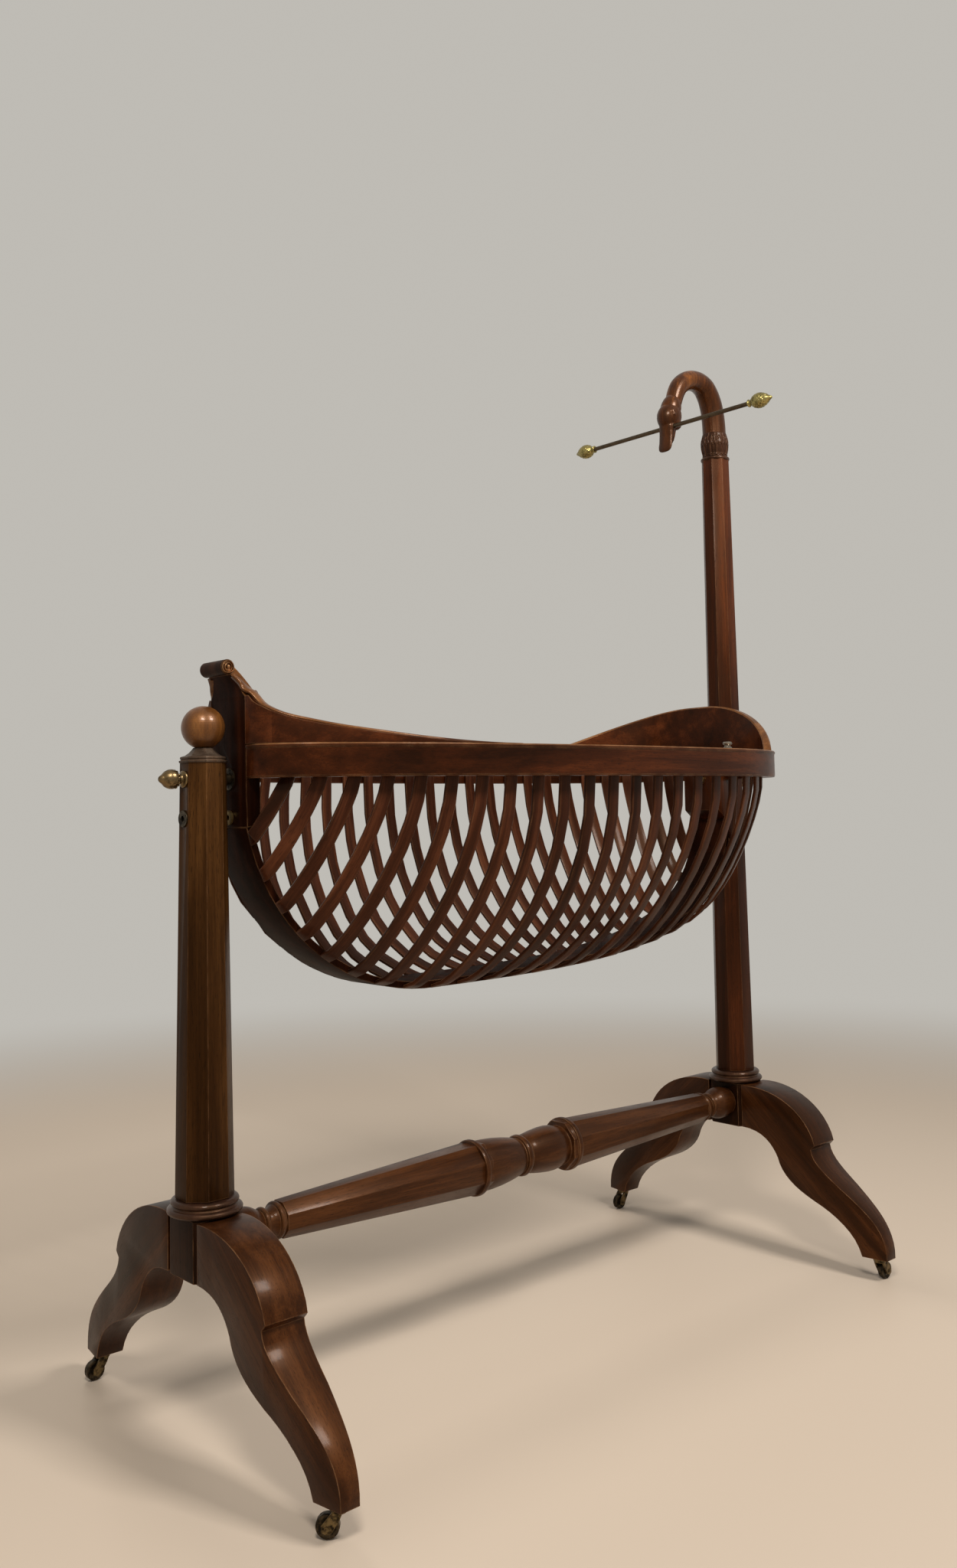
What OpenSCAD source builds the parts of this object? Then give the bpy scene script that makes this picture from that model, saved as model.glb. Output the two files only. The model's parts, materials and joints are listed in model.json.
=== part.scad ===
// Swinging boat cradle hung between two trestle posts
// Millimetres. X runs along the cradle, Y across it, Z up from the floor.

/* [Stand] */
// Distance between the two post centres
post_spacing = 1150; // [1150]
// Height of the pivot axis above the floor
pivot_z = 872; // [872]
// Height of the castor seats under the feet
sole_z = 38; // [38]
// Reach of each foot from the centre line
foot_reach = 318; // [318]
// Height of the tall post's collar
tall_z = 1503; // [1503]
// Height of the short post's top
short_z = 894; // [894]
// Stretcher axis height
stretcher_z = 265; // [265]

/* [Cradle] */
// Half width of the rim at its widest
rim_half = 240; // [238:1:242]
// Height of the bent rim band
band_h = 46; // [44:1:46]
// Thickness of the rim band
band_t = 22; // [22]
// Width of the keel board
keel_w = 84; // [82:1:86]
// Thickness of the keel board
keel_t = 11; // [10:0.5:12]
// Width of one slat
slat_w = 19.5; // [17:0.5:21]
// Thickness of one slat
slat_t = 5; // [4:0.5:6]

/* [Curtain rod] */
// Rod diameter
rod_d = 8; // [8]
// Rod length between the finials
rod_len = 396; // [380:2:400]

/* [Fits] */
// Radial clearance of a turning or sliding shaft
run_c = 0.05; // [0.03:0.01:0.08]
// Clearance of a glued tenon or a seated face
seat_c = 0.1; // [0.05:0.05:0.15]
// Diameter of the pivot bolts
bolt_d = 10; // [10]
// Lock pin hole diameter
lock_d = 8; // [7:0.5:9]

/* [Hidden] */
$fn = 64;
e8 = cos(22.5);
xl = -post_spacing / 2;
xr = post_spacing / 2;
block_x = 70;
block_y = 76;
block_z0 = 222;
block_z1 = 300;
block_c = 8;
ring_z1 = 322;
tenon_d = 36;
tenon_h = 60;
short_base = 72;
tall_base = 67.5;
short_top = 57.5;
tall_top = 50;
ball_d = 59;
ball_z = 942;
leg_h0 = 34;
leg_h1 = 13.5;
swan_base_z = tall_z + 60;

prow_x = -535;
stern_x = 541;
prow_half = 44;
wide_x = 190;
stern_n = 3.0;
band_z0 = pivot_z;
band_z1 = band_z0 + band_h;
board_in = 5;
stern_h = 95.2;
board_t = 14;
keel_z0 = 564;
keel_mid = -210;
keel_prow = -535;
keel_stern = 530;
prow_n = 2.05;
astern_n = 3.3;
keel_half = keel_w / 2;
n_slat = 24;
rim_s0 = 60.5;
rim_s1 = 1215;
keel_s0 = 82;
keel_s1 = 1296;
ds = (rim_s1 - rim_s0) / (n_slat - 1);
dk = (keel_s1 - keel_s0) / (n_slat - 1);
hw = slat_w / 2;
slat_seat = 0.3;
far_start = 0.46;
keel_end = 76;
keel_start = 66;
slat_top = band_z0 + 30;
bush_od = 16;
bush_flange = 30;
lock_z = 819;
rod_x = xr - 144;
rod_z = tall_z + 42;

caster_y = foot_reach - 22;
wheel_d = 28;
wheel_t = 10;
trail = 13;
wheel_z = wheel_d / 2;
casters = [[xl, caster_y, 180], [xl, -caster_y, 135], [xr, caster_y, 180], [xr, -caster_y, 0]];

mahogany = [0.36, 0.16, 0.10];
dark_wood = [0.28, 0.12, 0.08];
brass = [0.72, 0.58, 0.30];
iron = [0.22, 0.20, 0.18];

// ---------- curves ----------
function bez(p, t) = pow(1 - t, 3) * p[0] + 3 * t * pow(1 - t, 2) * p[1]
    + 3 * t * t * (1 - t) * p[2] + pow(t, 3) * p[3];
function bez_pts(p, n, from = 0) = [for (i = [from:n]) bez(p, i / n)];
function unit(v) = v / norm(v);
function mid(a, b) = (a + b) / 2;
function mix(a, b, t) = a + (b - a) * t;
function clamp01(t) = max(0, min(1, t));
function running(pts) = let (n = len(pts))
    [for (i = 0, s = 0; i < n; s = s + (i < n - 1 ? norm(pts[i + 1] - pts[i]) : 0), i = i + 1) s];

// rim plan, prow corner to the middle of the stern, +Y half
function rim_at(u) = u < 0.5
    ? let (a = 90 * (1 - 2 * u))
        [wide_x - (wide_x - prow_x) * sin(a), prow_half + (rim_half - prow_half) * cos(a)]
    : let (a = 90 * (2 * u - 1))
        [wide_x + (stern_x - wide_x) * pow(sin(a), 2 / stern_n), rim_half * pow(cos(a), 2 / stern_n)];
rim_n = 240;
rim_raw = [for (i = [0:rim_n]) rim_at(i / rim_n)];
rim_s = running(rim_raw);
rim_tx = [for (i = [0:rim_n]) [rim_s[i], rim_raw[i][0]]];
rim_ty = [for (i = [0:rim_n]) [rim_s[i], rim_raw[i][1]]];
rim_len = rim_s[rim_n];
function rim_p(s) = [lookup(s, rim_tx), s > rim_len ? -lookup(2 * rim_len - s, rim_ty) : lookup(s, rim_ty)];
function rim_q(s) = s <= rim_len ? rim_p(s) : let (p = rim_p(2 * rim_len - s)) [p[0], -p[1]];
function rim_dir(s) = s < 0.5 ? [0, 1] : unit(rim_q(s + 3) - rim_q(max(0, s - 3)));
// point on the rim plan moved inward by d
function rim_in(s, d) = let (t = rim_dir(s), p = rim_q(s)) [p[0] + t[1] * d, p[1] - t[0] * d];

// keel side view, prow end to stern end
function keel_at(t) = t < 0.5
    ? let (a = 90 * (1 - 2 * t))
        [keel_mid - (keel_mid - keel_prow) * pow(sin(a), 2 / prow_n),
         band_z0 - (band_z0 - keel_z0) * pow(cos(a), 2 / prow_n)]
    : let (a = 90 * (2 * t - 1))
        [keel_mid + (keel_stern - keel_mid) * pow(sin(a), 2 / astern_n),
         band_z0 - (band_z0 - keel_z0) * pow(cos(a), 2 / astern_n)];
keel_n = 240;
keel_raw = [for (i = [0:keel_n]) keel_at(i / keel_n)];
keel_s = running(keel_raw);
keel_tx = [for (i = [0:keel_n]) [keel_s[i], keel_raw[i][0]]];
keel_tz = [for (i = [0:keel_n]) [keel_s[i], keel_raw[i][1]]];
keel_len = keel_s[keel_n];
function keel_p(s) = [lookup(s, keel_tx), lookup(s, keel_tz)];
function keel_dir(s) = unit(keel_p(s + 3) - keel_p(s - 3));
// point on the keel moved outward by d
function keel_out(s, d) = let (t = keel_dir(s), p = keel_p(s)) [p[0] + t[1] * d, p[1] - t[0] * d];

// the keel board's outer face lies flush with the slats
keel_o = slat_t + slat_seat;
keel_div = 52;
keel_step = (keel_len - keel_end - keel_start) / keel_div;
function slat_s(i) = rim_s0 + i * ds;
function slat_k(i) = keel_s0 + i * dk;

// ---------- solids from sections ----------
module loft(S) {
    n = len(S);
    m = len(S[0]);
    polyhedron(
        points = [for (r = S) each r],
        faces = concat(
            [for (i = [1:m - 2]) [0, i + 1, i]],
            [for (r = [0:n - 2], i = [0:m - 1]) [r * m + i, r * m + (i + 1) % m, (r + 1) * m + i]],
            [for (r = [0:n - 2], i = [0:m - 1])
                [r * m + (i + 1) % m, (r + 1) * m + (i + 1) % m, (r + 1) * m + i]],
            [for (i = [1:m - 2]) [(n - 1) * m, (n - 1) * m + i, (n - 1) * m + i + 1]]),
        convexity = 6);
}

module octagon(h, a0, a1) {
    rotate([0, 0, 22.5])
        cylinder(h = h, d1 = a0 / e8, d2 = a1 / e8, $fn = 8);
}

module x_cyl(x0, x1, d, y = 0, z = 0) {
    translate([x0, y, z])
        rotate([0, 90, 0])
            cylinder(h = x1 - x0, d = d);
}

module y_cyl(y0, y1, d, x = 0, z = 0) {
    translate([x, y1, z])
        rotate([90, 0, 0])
            cylinder(h = y1 - y0, d = d);
}

// revolved about X; profile points are [radius, x]
module x_turn(profile, z) {
    translate([0, 0, z])
        rotate([0, 90, 0])
            rotate_extrude($fn = 72)
                polygon(profile);
}

// ---------- stand ----------
module block(x) {
    difference() {
        translate([x, 0, block_z0])
            linear_extrude(block_z1 - block_z0)
                polygon([for (s = [[1, 1], [-1, 1], [-1, -1], [1, -1]], k = [0, 1])
                    let (f = s[0] * s[1] > 0 ? k : 1 - k)
                    [s[0] * (block_x / 2 - (f == 0 ? 0 : block_c)),
                     s[1] * (block_y / 2 - (f == 0 ? block_c : 0))]]);
        translate([x, 0, block_z1 - tenon_h])
            cylinder(h = tenon_h + 1, d = tenon_d + 2 * seat_c);
        x_cyl(x < 0 ? x + 5 : x - block_x / 2 - 1, x < 0 ? x + block_x / 2 + 1 : x - 5,
            stretch_tenon + 2 * seat_c, 0, stretcher_z);
        for (s = [-1, 1])
            leg_tenon(x, s, seat_c);
    }
}

leg_outer = concat(
    bez_pts([[38, 299], [95, 305], [163, 282], [188, 226]], 12),
    [[192, 213], [184, 205]],
    bez_pts([[184, 205], [186, 180], [222, 160], [262, 130]], 9, 1),
    bez_pts([[262, 130], [290, 108], [foot_reach + 2, 84], [foot_reach, sole_z]], 10, 1));
leg_inner = concat(
    bez_pts([[foot_reach - 44, sole_z], [foot_reach - 54, 76], [230, 100], [185, 118]], 8),
    bez_pts([[185, 118], [150, 132], [122, 150], [114, 180]], 8, 1),
    bez_pts([[114, 180], [104, 200], [85, 224], [38, 223]], 8, 1));

module leg_tenon(x, s, c) {
    translate([x - 12 - c, s > 0 ? 20 - c : -40, 240 - c])
        cube([24 + 2 * c, 20 + c, 44 + 2 * c]);
}

module leg(x, s) {
    difference() {
        union() {
            intersection() {
                translate([x - 40, 0, 0])
                    rotate([90, 0, 90])
                        linear_extrude(80)
                            scale([s, 1])
                                polygon(concat(leg_outer, leg_inner));
                translate([x, 0, 0])
                    linear_extrude(320)
                        scale([1, s])
                            polygon([[-leg_h0, 30], [-leg_h0, 60], [-31, 190], [-26, 240],
                                [-leg_h1, foot_reach], [leg_h1, foot_reach],
                                [26, 240], [31, 190], [leg_h0, 60], [leg_h0, 30]]);
            }
            leg_tenon(x, s, 0);
        }
        translate([x, s * caster_y, sole_z - 1])
            cylinder(h = 31, d = 9 + 2 * seat_c);
    }
}

function arc_pts(cx, cy, rx, ry, a0, a1, n) = [for (i = [0:n])
    let (a = a0 + (a1 - a0) * i / n) [cx + rx * cos(a), cy + ry * sin(a)]];

module base_ring(x) {
    translate([x, 0, 0])
        rotate_extrude($fn = 96)
            polygon(concat(
                [[tenon_d / 2 + seat_c, block_z1 + seat_c], [40, block_z1 + seat_c]],
                arc_pts(41, 305.6, 9, 5.4, -75, 68, 9),
                arc_pts(38.5, 316.4, 6.5, 4.8, -52, 86, 8),
                [[tenon_d / 2 + seat_c, ring_z1 - seat_c]]));
}

// half the post's width across flats at height z
function post_half(x, z) = x < 0
    ? mix(short_base, short_top, (z - ring_z1) / (short_z - ring_z1)) / 2
    : mix(tall_base, tall_top, (z - ring_z1) / (tall_z - ring_z1)) / 2;

module post(x, top, a0, a1) {
    difference() {
        union() {
            translate([x, 0, ring_z1])
                octagon(top - ring_z1, a0, a1);
            translate([x, 0, block_z1 - tenon_h + 1])
                cylinder(h = tenon_h + ring_z1 - block_z1, d = tenon_d);
            if (x < 0)
                translate([x, 0, top - 5])
                    cylinder(h = 11, d = 14);
        }
        x_cyl(x - 50, x + 50, bolt_d + 2 * seat_c, 0, pivot_z);
        if (x < 0)
            x_cyl(x - 50, x + 50, 14 + 2 * seat_c, 0, lock_z);
        if (x > 0)
            translate([x, 0, top - 40])
                cylinder(h = 41, d = 22 + 2 * seat_c);
    }
}

module post_cap() {
    translate([xl, 0, short_z])
        rotate([0, 0, 22.5])
            difference() {
                rotate_extrude($fn = 8)
                    polygon([for (v = [[0, 0], [60, 0], [60.6, 3], [56, 3.4], [56, 5], [58, 5.6], [57, 8],
                        [45, 10], [36, 13.5], [29, 17.6], [25, 20.5], [0, 20.5]]) [v[0] / 2 / e8, v[1]]]);
                translate([0, 0, 8])
                    cylinder(h = 20, d = 10 + 2 * seat_c);
                translate([0, 0, -1])
                    cylinder(h = 8, d = 14 + 2 * seat_c);
            }
}

module ball() {
    translate([xl, 0, ball_z])
        rotate_extrude($fn = 96)
            polygon(concat(arc_pts(0, 0, ball_d / 2, ball_d / 2, -68, 90, 26),
                [[0, -38], [5, -38], [5, -27.4]]));
}

module post_collar() {
    translate([xr, 0, tall_z])
        rotate_extrude($fn = 72)
            polygon(concat([[11 + seat_c, 0], [25.5, 0]],
                arc_pts(25.5, 3, 2.6, 3, -90, 90, 8), [[11 + seat_c, 6]]));
}

module leaf_collar() {
    translate([xr, 0, tall_z])
        difference() {
            union() {
                rotate_extrude($fn = 72)
                    polygon(concat([[0, 6], [24.5, 6]],
                        bez_pts([[24.5, 8], [27, 16], [29, 24], [28.5, 31]], 6),
                        bez_pts([[28.5, 31], [28, 42], [24, 50], [23.5, 56]], 7, 1),
                        [[0, 56]]));
                translate([0, 0, -39])
                    cylinder(h = 46, d = 22);
            }
            translate([0, 0, 36])
                cylinder(h = 30, d = 20 + 2 * seat_c);
        }
}

// swan's neck and head, stations of [x, z, depth in the bend plane, width]
function crook(x, z) = [xr - x, tall_z + z];
neck_a = [[xr, tall_z + 56 + seat_c], crook(0, 93), crook(6, 122), crook(28, 142)];
neck_b = [crook(28, 142), crook(50, 157), crook(83, 152), crook(105, 131)];
neck_c = [crook(105, 131), crook(120, 115), crook(123, 95), crook(132, 75)];
head_c = [crook(132, 75), crook(139, 60), crook(147, 42), crook(154, -5)];
swan_path = concat(bez_pts(neck_a, 12), bez_pts(neck_b, 10, 1), bez_pts(neck_c, 8, 1), bez_pts(head_c, 14, 1));
swan_s = running(swan_path);
swan_len = swan_s[len(swan_s) - 1];
swan_depth = [[0, 46], [0.10, 47], [0.30, 44], [0.46, 41], [0.58, 34], [0.66, 31], [0.72, 36], [0.78, 47],
    [0.83, 45], [0.87, 30], [0.90, 20], [0.94, 14], [0.975, 11], [1, 5]];
swan_width = [[0, 46], [0.10, 47], [0.30, 44], [0.46, 41], [0.58, 34], [0.66, 32], [0.72, 38], [0.78, 44],
    [0.83, 42], [0.87, 35], [0.90, 32], [0.94, 31], [0.975, 26], [1, 14]];

module swan() {
    n = len(swan_path);
    difference() {
        union() {
            loft([for (i = [0:n - 1])
                let (a = swan_path[max(0, i - 1)], b = swan_path[min(n - 1, i + 1)],
                    t = i == 0 ? [0, 1] : unit(b - a), p = swan_path[i], s = swan_s[i] / swan_len,
                    d = lookup(s, swan_depth) / 2, w = lookup(s, swan_width) / 2)
                [for (k = [0:23]) let (q = 15 * k)
                    [p[0] - t[1] * d * cos(q), w * sin(q), p[1] + t[0] * d * cos(q)]]]);
            translate([xr, 0, swan_base_z - 24])
                cylinder(h = 30, d = 20);
        }
        y_cyl(-60, 60, rod_d + 2 * run_c, rod_x, rod_z);
    }
}

stretch_tenon = 30;
shaft_x0 = 90;
shaft_x1 = 460;
collar_x1 = post_spacing / 2 - block_x / 2;

module stretcher(s) {
    difference() {
        translate([s * shaft_x0, 0, stretcher_z])
            rotate([0, s * 90, 0])
                octagon(shaft_x1 - shaft_x0, 76, 49);
        for (x = [s * (shaft_x0 + 9.5), s * (shaft_x1 - 9.5)])
            x_cyl(x - 10.5, x + 10.5, 24 + 2 * seat_c, 0, stretcher_z);
    }
}

module knop() {
    half = concat(
        [[12, shaft_x0 + 18], [12, shaft_x0], [36, shaft_x0], [36, 85]],
        arc_pts(37, 79, 6, 6, 90, -90, 10),
        bez_pts([[34, 72], [33, 58], [27, 48], [22, 40]], 7),
        bez_pts([[22, 40], [19, 34], [20, 14], [24, 6]], 6, 1));
    mirror_half = [for (i = [len(half) - 1:-1:0]) [half[i][0], -half[i][1]]];
    x_turn(concat([[0, shaft_x0 + 18]], half, arc_pts(23.5, 0, 3, 4, 80, -80, 6), mirror_half,
        [[0, -shaft_x0 - 18]]), stretcher_z);
}

module collar(s) {
    p = concat([[0, 0], [12, 0], [12, 19], [22.5, 19], [22.5, 22]],
        arc_pts(22, 25, 3.6, 3.6, -80, 80, 7),
        bez_pts([[21.5, 29], [18, 34], [17, 38], [17, 42]], 5),
        arc_pts(18, 46, 4, 4, -80, 80, 7),
        bez_pts([[18, 50], [20, 56], [27, 62], [28, 72]], 7),
        bez_pts([[28, 72], [29, 84], [26, 92], [25, 99 - seat_c]], 6, 1),
        [[stretch_tenon / 2, 99 - seat_c], [stretch_tenon / 2, 113], [0, 113]]);
    x0 = shaft_x1 - 19;
    q = [for (v = p) [v[0], x0 + v[1]]];
    x_turn(s > 0 ? q : [for (i = [len(q) - 1:-1:0]) [q[i][0], -q[i][1]]], stretcher_z);
}

post_in_l = xl + post_half(xl, pivot_z - bush_od / 2);
post_in_r = xr - post_half(xr, pivot_z - bush_od / 2);

module pivot_bolt(s) {
    x_cyl(s > 0 ? 492 : -610, s > 0 ? 610 : -500, bolt_d, 0, pivot_z);
}

module pivot_finial(s) {
    x0 = xr + post_half(s, pivot_z - 14) + 0.05;
    p = concat([[bolt_d / 2 + seat_c, x0], [14, x0], [14, x0 + 2]],
        bez_pts([[14, x0 + 2], [10, x0 + 4], [6.5, x0 + 4], [6.5, x0 + 8]], 5, 1),
        bez_pts([[6.5, x0 + 8], [13, x0 + 10], [14, x0 + 24], [6, x0 + 31]], 10, 1),
        bez_pts([[6, x0 + 31], [4, x0 + 33], [3, x0 + 36], [0, 642]], 4, 1),
        [[0, 611], [bolt_d / 2 + seat_c, 611]]);
    x_turn(s > 0 ? p : [for (i = [len(p) - 1:-1:0]) [p[i][0], -p[i][1]]], pivot_z);
}

lock_out = xl - post_half(xl, lock_z - 11);
module lock_bush() {
    difference() {
        union() {
            x_cyl(lock_out - 2, xl + 29.2, 14, 0, lock_z);
            x_cyl(lock_out - 2, lock_out - 0.05, 22, 0, lock_z);
        }
        x_cyl(xl - 40, xl + 40, lock_d + 2 * seat_c, 0, lock_z);
    }
}

// ---------- cradle ----------
function band_outer(d) = [for (s = [0:10.2:rim_len]) rim_in(s, d)];
function band_inner(m) = concat([rim_in(0, band_t)],
    [for (i = [0:n_slat - 1], k = [-1, 1]) rim_in(slat_s(path_u(i, 0, m)) + k * hw * 1.15, band_t)],
    m > 0 ? [rim_in(rim_s1 - 1, band_t), rim_in(rim_s1 + 17, band_t)] : [],
    [rim_in(rim_s1 + 36, band_t), rim_in(rim_s1 + 60, band_t)]);
function flip_y(p) = [for (i = [len(p) - 1:-1:0]) [p[i][0], -p[i][1]]];

function band_inner_loop() = concat(flip_y_rev(band_inner(-1)), rev(band_inner(1)));
function rev(p) = [for (i = [len(p) - 1:-1:0]) p[i]];
function flip_y_rev(p) = [for (v = p) [v[0], -v[1]]];

module rim_layer(z0, z1, d) {
    translate([0, 0, z0])
        linear_extrude(z1 - z0)
            polygon(concat(band_outer(d), flip_y(band_outer(d)), band_inner_loop()));
}

module rim_band() {
    difference() {
        union() {
            rim_layer(band_z0, band_z0 + 2, 1.2);
            rim_layer(band_z0 + 2, band_z1 - 6, 0.4);
            rim_layer(band_z1 - 6, band_z1 - 4.6, 0);
            rim_layer(band_z1 - 4.6, band_z1 - 1.4, -0.9);
            rim_layer(band_z1 - 1.4, band_z1, 0.4);
        }
        translate([-600, -prow_half - seat_c, band_z0 - 1])
            cube([95, 2 * (prow_half + seat_c), band_h + 2]);
        x_cyl(490, 560, bush_od + 2 * seat_c, 0, pivot_z);
        x_cyl(stern_x - 4.5, 560, bush_flange + 2 * seat_c, 0, pivot_z);
    }
}

// raised board on the band: section at arc s with height h
function board_sec(s, h, m = 1) = let (o = rim_in(s, board_in), i = rim_in(s, board_in + board_t),
        z0 = band_z1, z1 = band_z1 + h, b = min(2.4, h * 0.4), u = unit(i - o))
    [for (q = [[o, z0], [o, z1 - b], [o + u * b, z1], [i - u * b, z1], [i, z1 - b], [i, z0]])
        [q[0][0], m * q[0][1], q[1]]];
function prow_rise(s) = 44 * pow(clamp01(1 - s / 420), 1.7) + 30 * exp(-s / 34) + 0.8;
// the stern board climbs slowly on the +Y side and drops fast on the -Y side; t is the arc past its middle
stern_far = 490;
stern_near = 208;
function stern_rise(t) = let (q = clamp01((-t - 40) / (stern_far - 40)))
    0.8 + stern_h * (t > 0 ? 1 - pow(clamp01(t / stern_near), 1.9) : 1 - q * q * (3 - 2 * q));

module side_board(m) {
    st = concat([0.2], [for (s = [6:6:60]) s], [for (s = [70:14:420]) s]);
    sec = [for (s = st) board_sec(s, prow_rise(s), m)];
    loft(m > 0 ? rev(sec) : sec);
}

module stern_board() {
    n = 56;
    sec = [for (i = [0:n]) let (t = -stern_far + (stern_far + stern_near) * i / n)
        board_sec(rim_len + t, stern_rise(t))];
    loft(rev(sec));
}

module stern_stile() {
    difference() {
        translate([0, keel_half - 2, 0])
            rotate([90, 0, 0])
                linear_extrude(keel_w - 4)
                    polygon([keel_out(keel_len - keel_end + 0.2, keel_o - keel_t),
                        keel_out(keel_len - keel_end + 0.2, keel_o),
                        [531, 808], [537, 822], [stern_x - 1, 840], [stern_x - 1, band_z0 - seat_c],
                        [516.5, band_z0 - seat_c], [516.5, band_z1 - seat_c],
                        [498, band_z1 - seat_c], [498, 815]]);
        x_cyl(490, 560, bush_od + 2 * seat_c, 0, pivot_z);
        x_cyl(stern_x - 4.5, 560, bush_flange + 2 * seat_c, 0, pivot_z);
    }
}

module prow_board() {
    difference() {
        intersection() {
            translate([0, 60, 0])
                rotate([90, 0, 0])
                    linear_extrude(120)
                        polygon(concat([keel_out(keel_start - 0.2, keel_o - keel_t), [-513, 806], [-513, 960]],
                            bez_pts([[-513, 960], [-513, 990], [-520, 1005], [-538, 1020]], 8, 1),
                            [[-553, 1033], [-560, 1020], [-549, 1014]],
                            bez_pts([[-549, 1014], [-538, 1004], [-535, 985], [-535, 955]], 8, 1),
                            [[-535, 955], [-535, 845], [-534, 832], keel_out(keel_start - 0.2, keel_o)]));
            translate([-600, 0, 0])
                rotate([90, 0, 90])
                    linear_extrude(120)
                        polygon(concat([[prow_half, 780], [prow_half, 984]],
                            bez_pts([[prow_half, 984], [35, 992], [28.5, 1004], [28, 1013]], 8, 1),
                            [[28, 1040], [-28, 1040]],
                            bez_pts([[-28, 1013], [-28.5, 1004], [-35, 992], [-prow_half, 984]], 8),
                            [[-prow_half, 780]]));
        }
        y_cyl(-60, 60, 21 + 2 * seat_c, -553, 1024);
        x_cyl(-600, -480, bush_od + 2 * seat_c, 0, pivot_z);
        x_cyl(-600, -530.5, bush_flange + 2 * seat_c, 0, pivot_z);
        x_cyl(-600, -524, 12 + 2 * seat_c, 0, lock_z);
    }
}

module prow_scroll() {
    p = concat([[0, -31.5]], arc_pts(0, -28, 5, 3.5, -80, -10, 4),
        [[6, -28.8], [7.5, -29.6], [9, -28.8], [10.5, -27]]);
    q = [for (i = [len(p) - 1:-1:0]) [p[i][0], -p[i][1]]];
    translate([-553, 0, 1024])
        rotate([-90, 0, 0])
            rotate_extrude($fn = 64)
                polygon(concat(p, q));
}

module keel_board() {
    outer = concat([keel_out(keel_start, keel_o)],
        [for (i = [1:keel_div]) keel_out(keel_start + i * keel_step, keel_o)]);
    inner = [for (i = [0:keel_div]) keel_out(keel_start + i * keel_step, keel_o - keel_t)];
    translate([0, keel_half, 0])
        rotate([90, 0, 0])
            linear_extrude(keel_w)
                polygon(concat(outer, rev(inner)));
}

// outer surface of the hull at slat position i and station v
knots = [-1, 0, 0.1, 0.2, 0.3, 0.4, 0.5, 0.6, 0.7, 0.79, 0.88, 1];
function fwd(i) = (i + 1) / (n_slat - 1);
function tri_mix(f, a, b, c) = f < 0.5 ? mix(a, b, 2 * f) : mix(b, c, 2 * f - 1);
function hull_pt(i, v) =
    let (r = rim_in(slat_s(i), band_t + slat_seat), k = keel_out(slat_k(i), keel_o),
        p0 = [r[0], r[1], band_z0], p3 = [k[0], keel_half + slat_seat, k[1]],
        h = p0[2] - p3[2], f = fwd(i), lean = p3[0] - p0[0],
        b = tri_mix(f, 0.17, 0.70, 0.10), a = tri_mix(f, 0.44, 0.19, 0.45),
        c = mix(0.28, -0.37, f), e = mix(-0.09, 0.34, f),
        p1 = p0 + [c * lean, 0, -b * h], p2 = p3 + [-e * lean, a * (p0[1] - p3[1]), 0])
    v < 0 ? p0 + [0, 0, slat_top - band_z0] : bez([p0, p1, p2, p3], v);
// the +Y slats start half a space nearer the prow and sweep aft as they go down
far_sweep = [[0, 3.9], [4, 4.6], [8, 4.05], [12, 2.5], [16, 1.0], [20, 0.1], [23, 0]];
function eased(v) = v < 0.75 ? max(0, v) : 0.75 + 0.125 * (1 - pow(4 - 4 * v, 2));
function path_u(i, v, m) = m < 0 ? i
    : let (q = eased(v), g = mix(-0.39, 1.02, i / (n_slat - 1)))
        i - far_start + lookup(i, far_sweep) * ((1 - g) * q * q + g * q * q * (3 - 2 * q));
function slat_mid(i, v, m) = let (u = path_u(i, v, m)) mid(hull_pt(u - hw / ds, v), hull_pt(u + hw / ds, v));
// a section of one slat; the last one lies in the keel's side face
function slat_sec(i, v, m) =
    let (u = path_u(i, v, m), a = hull_pt(u - hw / ds, v), b = hull_pt(u + hw / ds, v), c = mid(a, b),
        e = 0.03, g = unit(b - a),
        t = v <= 0 ? [0, 0, -1] : unit(slat_mid(i, min(1, v + e), m) - slat_mid(i, v - e, m)),
        wd = unit(g - (g * t) * t), nn = cross(t, wd), bv = 1.1)
    [for (q = [[-hw + bv, 0], [hw - bv, 0], [hw, bv], [hw, slat_t], [-hw, slat_t], [-hw, bv]])
        let (p = c + wd * q[0] + nn * q[1], y = keel_half + slat_seat, z = v < 1 ? p : p + t * ((y - p[1]) / t[1]))
        [z[0], m * max(z[1], y), z[2]]];

module slat(i, m) {
    sec = [for (v = knots) slat_sec(i, v, m)];
    loft(m > 0 ? rev(sec) : sec);
}

module slats(m, i0, i1) {
    for (i = [i0:i1])
        slat(i, m);
}

module prow_bush() {
    difference() {
        union() {
            x_cyl(post_in_l + 0.5, -508, bush_od, 0, pivot_z);
            x_cyl(-536.5, -530.6, bush_flange, 0, pivot_z);
        }
        x_cyl(-600, -480, bolt_d + 2 * run_c, 0, pivot_z);
    }
}

module stern_bush() {
    difference() {
        union() {
            x_cyl(494, post_in_r - 0.5, bush_od, 0, pivot_z);
            x_cyl(stern_x - 4.4, stern_x + 1.5, bush_flange, 0, pivot_z);
        }
        x_cyl(480, 600, bolt_d + 2 * run_c, 0, pivot_z);
    }
}

module cradle_lock() {
    difference() {
        union() {
            x_cyl(-535.6, -524.1, 12, 0, lock_z);
            x_cyl(-537.6, -534.1, 20, 0, lock_z);
        }
        x_cyl(-560, -526, lock_d + 2 * seat_c, 0, lock_z);
    }
}

hook_s = 880;
module rim_hook() {
    p = rim_in(hook_s, board_in + board_t / 2);
    translate([p[0], -p[1], band_z1 + 0.3])
        rotate_extrude($fn = 32)
            polygon([[0, 0], [7, 0], [7, 1.6], [5, 2.6], [4.6, 4.4], [7.4, 6], [8, 8.4], [6, 10.6], [0, 11.6]]);
}

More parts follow.
